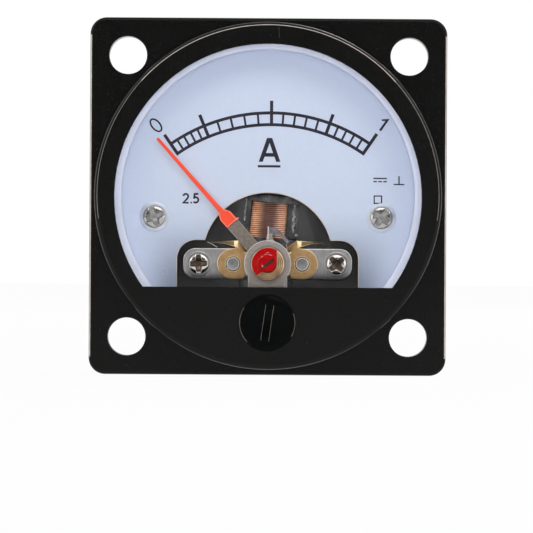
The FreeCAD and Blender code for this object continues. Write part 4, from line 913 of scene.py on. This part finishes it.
def dress_pointer():
    """The pointer's blade with the raised rims of its paddle, along its own line; the rims and the nub take
    a painted highlight colour.
    """
    body, front = "pointer_system", 3.8
    paddle, blade, taper = 0.95, 0.315, 0.105

    def place(across, along):
        return around_pivot([turned_point(across, along, POINTER_LEAN)])[0]

    def half_width(along):
        neck = smooth_step((along - 8.85) / 1.9)
        tip = (along - PADDLE_END) / (POINTER_END - PADDLE_END)
        return (paddle + (blade - paddle) * neck) * (1 - neck) + (blade - taper * tip) * neck

    stations = [PADDLE_ROOT, 8.0, 8.6] + [8.6 + 0.12 * step for step in range(1, 17)] + [16.0, POINTER_END]
    side = [(half_width(along), along) for along in stations]
    tip = [(x, POINTER_END + y) for x, y in arc((0, 0), blade - taper, 15, 165, 10)]
    outline = [place(x, y) for x, y in side + tip + [(-x, y) for x, y in reversed(side)]]
    flat_piece("pointer_blade", [outline], 3.55, front, "pointer_red", body, replaces=("pointer",))
    rims = [(0.1 - half_width(along), along) for along in reversed(stations[:14])]
    rims += [(half_width(along) - 0.1, along) for along in stations[:14]]
    rims[13:15] = [(-0.85, 7.6), (-0.4, 7.6), (0.4, 7.6), (0.85, 7.6)]
    wire("pointer_rim", lifted([place(x, y) for x, y in rims], front), 0.085, "pointer_painted_highlight", body)
    nub = [place(x, y) for x, y in ((0.8, 7.42), (1.2, 7.42), (1.24, 7.62), (0.95, 7.75), (0.8, 7.7))]
    flat_piece("pointer_nub", [nub], 3.6, 3.95, "pointer_painted_highlight", body, 0.07)


def bend_horns(shape):
    """Curves the bridge's thin side arms back towards their tips, with a painted highlight at the bend and
    painted shade on the tips.
    """
    root, reach, floor = 4.3, 8.0, PIVOT[1] + 2.22
    for sign in (-1, 1):
        for step in range(1, 16):
            place = Vector((sign * (3.6 + 0.28 * step), 0, 0)) * MM
            picked = [f for f in shape.faces if f.calc_center_median().z > floor * MM]
            verts = {v for f in picked for v in f.verts}
            edges = {e for f in picked for e in f.edges}
            geom = [*verts, *edges, *picked]
            bmesh.ops.bisect_plane(shape, geom=geom, plane_co=place, plane_no=(1, 0, 0), dist=1e-7)
    for face in shape.faces:
        spot = face.calc_center_median()
        out, up = abs(spot.x) / MM, spot.z / MM - PIVOT[1]
        # Painted highlight near the bend of each arm, painted shade further out
        if up > 2.3 and out > 4.1:
            face.material_index = 1 if out < 4.8 or face.material_index else 2
    for vert in shape.verts:
        out, up, depth = abs(vert.co.x) / MM, vert.co.z / MM - PIVOT[1], -vert.co.y / MM
        if depth > 1.9 and 3.0 < out < 4.05 and abs(up) < 1.8:
            vert.co.x *= (3.0 + (out - 3.0) * 0.3) / out
        elif depth < 2.3 and out > 4.4 and up < 2.15:
            vert.co.x += math.copysign((out - EAR_X) * 0.06, vert.co.x) * MM
            vert.co.z += up * 0.03 * MM
        elif up > 2.2 and out > 3.6:
            share = smooth_step((up - 2.2) / 0.3)
            along = max(0.0, (out - root) / (reach - root))
            fold = 0.25 * math.exp(-((out - 4.1) / 0.3) ** 2)
            vert.co.y += share * (1.9 * along ** 1.5 - fold) * MM
            thin = 0.2 * math.sin(math.pi * min(1.0, along)) * smooth_step((3.25 - up) / 0.5)
            vert.co.z += share * thin * MM


def print_dial():
    """Plain figures and signs printed on the dial."""
    def stamp(name, *loops):
        flat_piece(f"print_{name}", loops, DIAL_FACE - 0.01, PRINT_FACE, "ink", edge=0.008)

    def moved(points, centre, turn=0):
        spun = [turned_point(x, y, turn) for x, y in points]
        return [(centre[0] + x, centre[1] + y) for x, y in spun]

    def oval(wide, high, steps=48):
        return [(wide * x, high * y) for x, y in arc((0, 0), 1.0, 0, 360 - 360 / steps, steps - 1)]

    zero_spot, lean = (-15.76, 9.9), 41
    stamp("zero", moved(oval(0.68, 1.14), zero_spot, lean), moved(oval(0.45, 0.9), zero_spot, lean))
    stamp("one", [(15.5, 9.42), (15.76, 9.22), (16.98, 10.96), (16.72, 10.98), (15.86, 10.92), (15.9, 10.68),
                  (16.4, 10.68)])
    letter = [(-1.5, 0), (-0.93, 0), (-0.66, 0.72), (0.69, 0.72), (0.97, 0), (1.55, 0), (0.38, 3.35),
              (-0.34, 3.35)]
    counter = [(-0.47, 1.24), (0.02, 2.63), (0.5, 1.24)]
    unit_spot = (0.16, 4.87)
    stamp("unit", moved(letter, unit_spot), moved(counter, unit_spot))
    stamp("unit_bar", rectangle(-1.47, 4.08, 1.73, 4.4))
    base, pen = -1.03, 0.26
    two = [(0.06, 1.05)] + arc((0.4, 1.0), 0.34, 160, -30, 12) + [(0.5, 0.55), (0.06, 0.1), (0.8, 0.1)]
    five_top = [(0.74, 1.34), (0.22, 1.34), (0.13, 0.66)]
    five_bowl = arc((0.36, 0.5), 0.38, 140, -140, 18)
    for name, path, x in (("two", two, -11.92), ("five_top", five_top, -10.5),
                          ("five_bowl", five_bowl, -10.5)):
        stamp(name, moved(stroke(path, pen), (x, base)))
    stamp("point", rectangle(-10.86, base, -10.64, -0.8))
    stamp("current", rectangle(14.75, 2.55, 16.65, 2.72))
    for index in range(3):
        x = 14.75 + 0.7 * index
        stamp(f"current_dash_{index + 1}", rectangle(x, 2.1, x + 0.5, 2.27))
    stamp("upright", [(17.6, 1.72), (19.1, 1.72), (19.1, 1.89), (18.44, 1.89), (18.44, 2.98), (18.26, 2.98),
                      (18.26, 1.89), (17.6, 1.89)])
    stamp("square", rectangle(14.8, -0.95, 16.0, 0.25), rectangle(14.97, -0.78, 15.83, 0.08))


def print_scale():
    """The scale's two arcs and its graduations, as one print."""
    centre, outer, inner, line = (0.4, -12.8), 24.53, 22.88, 0.43
    # The degrees of the main graduations, and how far each one reaches
    mains = ((-34.98, 26.1), (-22.55, 26.2), (0.07, 26.23), (19.55, 25.87), (34.33, 26.24))
    points, faces = [], []

    def spot(radius, degrees, across=0.0):
        x, y = turned_point(across, radius, -degrees)
        return centre[0] + x, centre[1] + y

    def strip(left, right, top):
        start, under = len(points), DIAL_FACE - 0.01
        for (x0, y0), (x1, y1) in zip(left, right):
            points.extend([(x0, y0, under), (x0, y0, top), (x1, y1, top), (x1, y1, under)])
        faces.extend(tuple(start + corner for corner in face) for face in grid_faces(len(left), 4, True))

    def tick(degrees, reach, half, top):
        ends = (inner - line / 2, reach)
        strip([spot(end, degrees, -half) for end in ends], [spot(end, degrees, half) for end in ends], top)

    steps = 80
    span = [mains[0][0] + (mains[-1][0] - mains[0][0]) * step / steps for step in range(steps + 1)]
    for radius in (outer, inner):
        edges = [[spot(radius + side * line / 2, turn) for turn in span] for side in (1, -1)]
        strip(*edges, PRINT_FACE)
    for degrees, reach in mains:
        tick(degrees, reach, 0.225, PRINT_FACE + 0.002)
    for (first, _), (last, _) in zip(mains, mains[1:]):
        for step in range(1, 5):
            tick(first + (last - first) * step / 5, outer, 0.15, PRINT_FACE + 0.001)
    from_points("print_scale", points, faces, "ink", replaces=("dial_scale",))


def dress_cheeks():
    """The bobbin's cheeks on both sides of the winding, which leans between them."""
    for name, loop in (("left", [(-3.6, 3.5), (-2.74, 3.5), (-2.26, 9.1), (-3.4, 9.1)]),
                       ("right", [(2.42, 3.5), (4.5, 3.5), (4.5, 9.1), (2.92, 9.1)])):
        flat_piece(f"bobbin_cheek_{name}", [around_pivot(loop)], -1.8, -1.15, "bobbin_black")


def dress_glue():
    """Dried glue where the bobbin meets the frame."""
    left = [(-3.0, 9.2), (-3.05, 8.6), (-3.15, 8.0), (-3.22, 7.3), (-3.28, 6.7), (-3.32, 6.1)]
    right = [(3.95, 9.0), (3.78, 8.5), (3.86, 8.0), (3.7, 7.4), (3.75, 6.8), (3.6, 6.2), (3.66, 5.6),
             (3.55, 4.9), (3.6, 4.4)]
    smear = [(3.75, 4.15), (3.95, 4.1), (4.2, 4.0)]
    for name, spine, width, seed in (("left", left, 0.2, 3), ("right", right, 0.36, 8),
                                     ("smear", smear, 0.3, 2)):
        fine = []
        for (x0, y0), (x1, y1) in zip(spine, spine[1:]):
            fine += [(x0 + (x1 - x0) * k / 4, y0 + (y1 - y0) * k / 4) for k in range(4)]
        ribbon(f"glue_{name}", around_pivot(fine + [spine[-1]]), width, 0.16, -1.02, seed, "glue")


def dress_marks():
    """The mould's parting mark, a pressed ring in the dial, and one hair-thin wire in the painted highlight
    colour.
    """
    flat_piece("bezel_mark", [rectangle(1.37, 21.85, 1.43, 23.4)], 9.98, 10.03, "cover_mark", edge=0.01)
    ring = [(0.33, 2.59), (0.36, 2.63), (0.42, 2.645), (0.48, 2.63), (0.51, 2.59)]
    turned("dial_emboss", ring, (-14.55, -10.63), "dial_white", steps=48)
    wire("fine_wire", lifted([(-8.48, -6.4), (-7.8, -6.7), (-7.08, -7.14)], 0.66), 0.045, "edge_painted_highlight")


def paint_edge_highlights():
    """Painted highlights: thin bright wires along the cover's bezel and flange edges and along the
    adjuster's slot and rim, standing in for the light those edges catch.
    """
    for index, (start, end, skin) in enumerate(((42, 138, "cover_painted_highlight"), (-8, 42, "cover_painted_glint"),
                                                (138, 188, "cover_painted_glint"))):
        wire(f"bezel_highlight_{index + 1}", lifted(arc((0, 0), 23.67, start, end, 80), 9.93), 0.065, skin)
    side, corner, depth = 24.79, 2.65, 2.8
    for name, sign in (("left", -1), ("right", 1)):
        spots = arc((side - corner, corner - side), corner, -45, 0, 8)
        spots += arc((side - corner, side - corner), corner, 0, 70, 12)
        spots = [(sign * x, y) for x, y in spots]
        wire(f"flange_highlight_{name}", lifted(spots, depth), 0.16, "cover_painted_highlight")
    body, skin = "zero_adjuster", "slot_painted_highlight"
    for index, across in enumerate((-0.56, 0.56)):
        ends = [turned_point(across, end, -SLOT_LEAN) for end in (-2.5, 2.5)]
        spots = [(ZERO_SPOT[0] + x, ZERO_SPOT[1] + y) for x, y in ends]
        wire(f"slot_highlight_{index + 1}", lifted(spots, HEAD_FACE), 0.03, skin, body)
    for index, (start, end) in enumerate(((147, 223), (-29, 20))):
        spots = arc(ZERO_SPOT, 3.83, start, end, 30)
        wire(f"head_highlight_{index + 1}", lifted(spots, HEAD_FACE), 0.036, skin, body)


def dress_terminals():
    """Threaded studs with their heads inside the case, and chamfered nuts behind it."""
    tip, thread_end, shank_end, radius, pitch = -40.3, -31.3, -25.0, 1.5, 0.5
    nut_rear, nut_front, flats, bore = -31.2, -28.8, 5.5, 1.25
    head_front = -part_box("terminal_stud_left")[0][1] / MM
    head_rear = head_front - 2.2
    for side, x in (("left", -STUD_X), ("right", STUD_X)):
        threaded_rod(f"terminal_stud_{side}_thread", (x, 0), tip, shank_end, radius, pitch, thread_end,
                     "plated", replaces=(f"terminal_stud_{side}",))
        hex_piece(f"terminal_stud_{side}_hex", (x, 0), head_rear, head_front, flats, 0.0, "plated")
        hex_piece(f"terminal_nut_{side}_hex", (x, 0), nut_rear, nut_front, flats, bore, "plated",
                  replaces=(f"terminal_nut_{side}",))


dress_winding("upper", 1)
dress_winding("lower", -1)
dress_screws()
dress_rivets()
dress_bearing()
dress_lever()
dress_pointer()
print_dial()
print_scale()
dress_cheeks()
dress_glue()
dress_marks()
paint_edge_highlights()
dress_terminals()
# The dial's rounded cut edge takes a bright colour that paints its highlight
sheet_copy("dial_plate", 0.1, "dial_edge_highlight")
# The bar's rounded edges take a painted highlight where they face up or sideways, and its steel carries
# painted shade at the bottom
sheet_copy("support_bar", 0.11, "edge_painted_highlight", "bar_steel", lowest=-0.1)
# The arm's rounded edges take a painted highlight
sheet_copy("pointer_arm", 0.06, "arm_painted_highlight")
rounded_copy("bobbin", 0.08, "bobbin_black")
rounded_copy("chassis", 0.08)
rounded_copy("zero_adjust_screw", 0.07, "head_black", clamp=True)
# The bridge's rounded edges take a painted highlight colour
rounded_copy("front_bridge", 0.07, extra=("brass_painted_highlight", "brass_painted_shade"), bend=bend_horns)


# Floor

def make_floor():
    """A white floor that still shows the object's soft shadow."""
    made, tree, shader, place = blank("floor")
    tone = ramp_of(tree, noise(tree, place, 40.0), [(0.3, (0.79, 0.79, 0.79)), (0.7, (0.81, 0.81, 0.81))])
    fill(tree, shader, Base_Color=tone, Roughness=0.9)
    soft = mix_shaders(tree, 0.96, shader.outputs[0], node(tree, "Emission").outputs[0])
    seen = any_ray(tree, "Is Camera Ray", "Is Glossy Ray", "Is Transmission Ray")
    out = next(n for n in tree.nodes if n.type == "OUTPUT_MATERIAL")
    tree.links.new(mix_shaders(tree, seen, shader.outputs[0], soft), out.inputs["Surface"])
    mesh = bpy.data.meshes.new("floor")
    reach, level = 3.0, -25.05 * MM
    mesh.from_pydata(lifted(rectangle(-reach, -reach, reach, reach), level), [], [(0, 1, 2, 3)])
    mesh.materials.append(made)
    floor = put("floor", mesh)


make_floor()
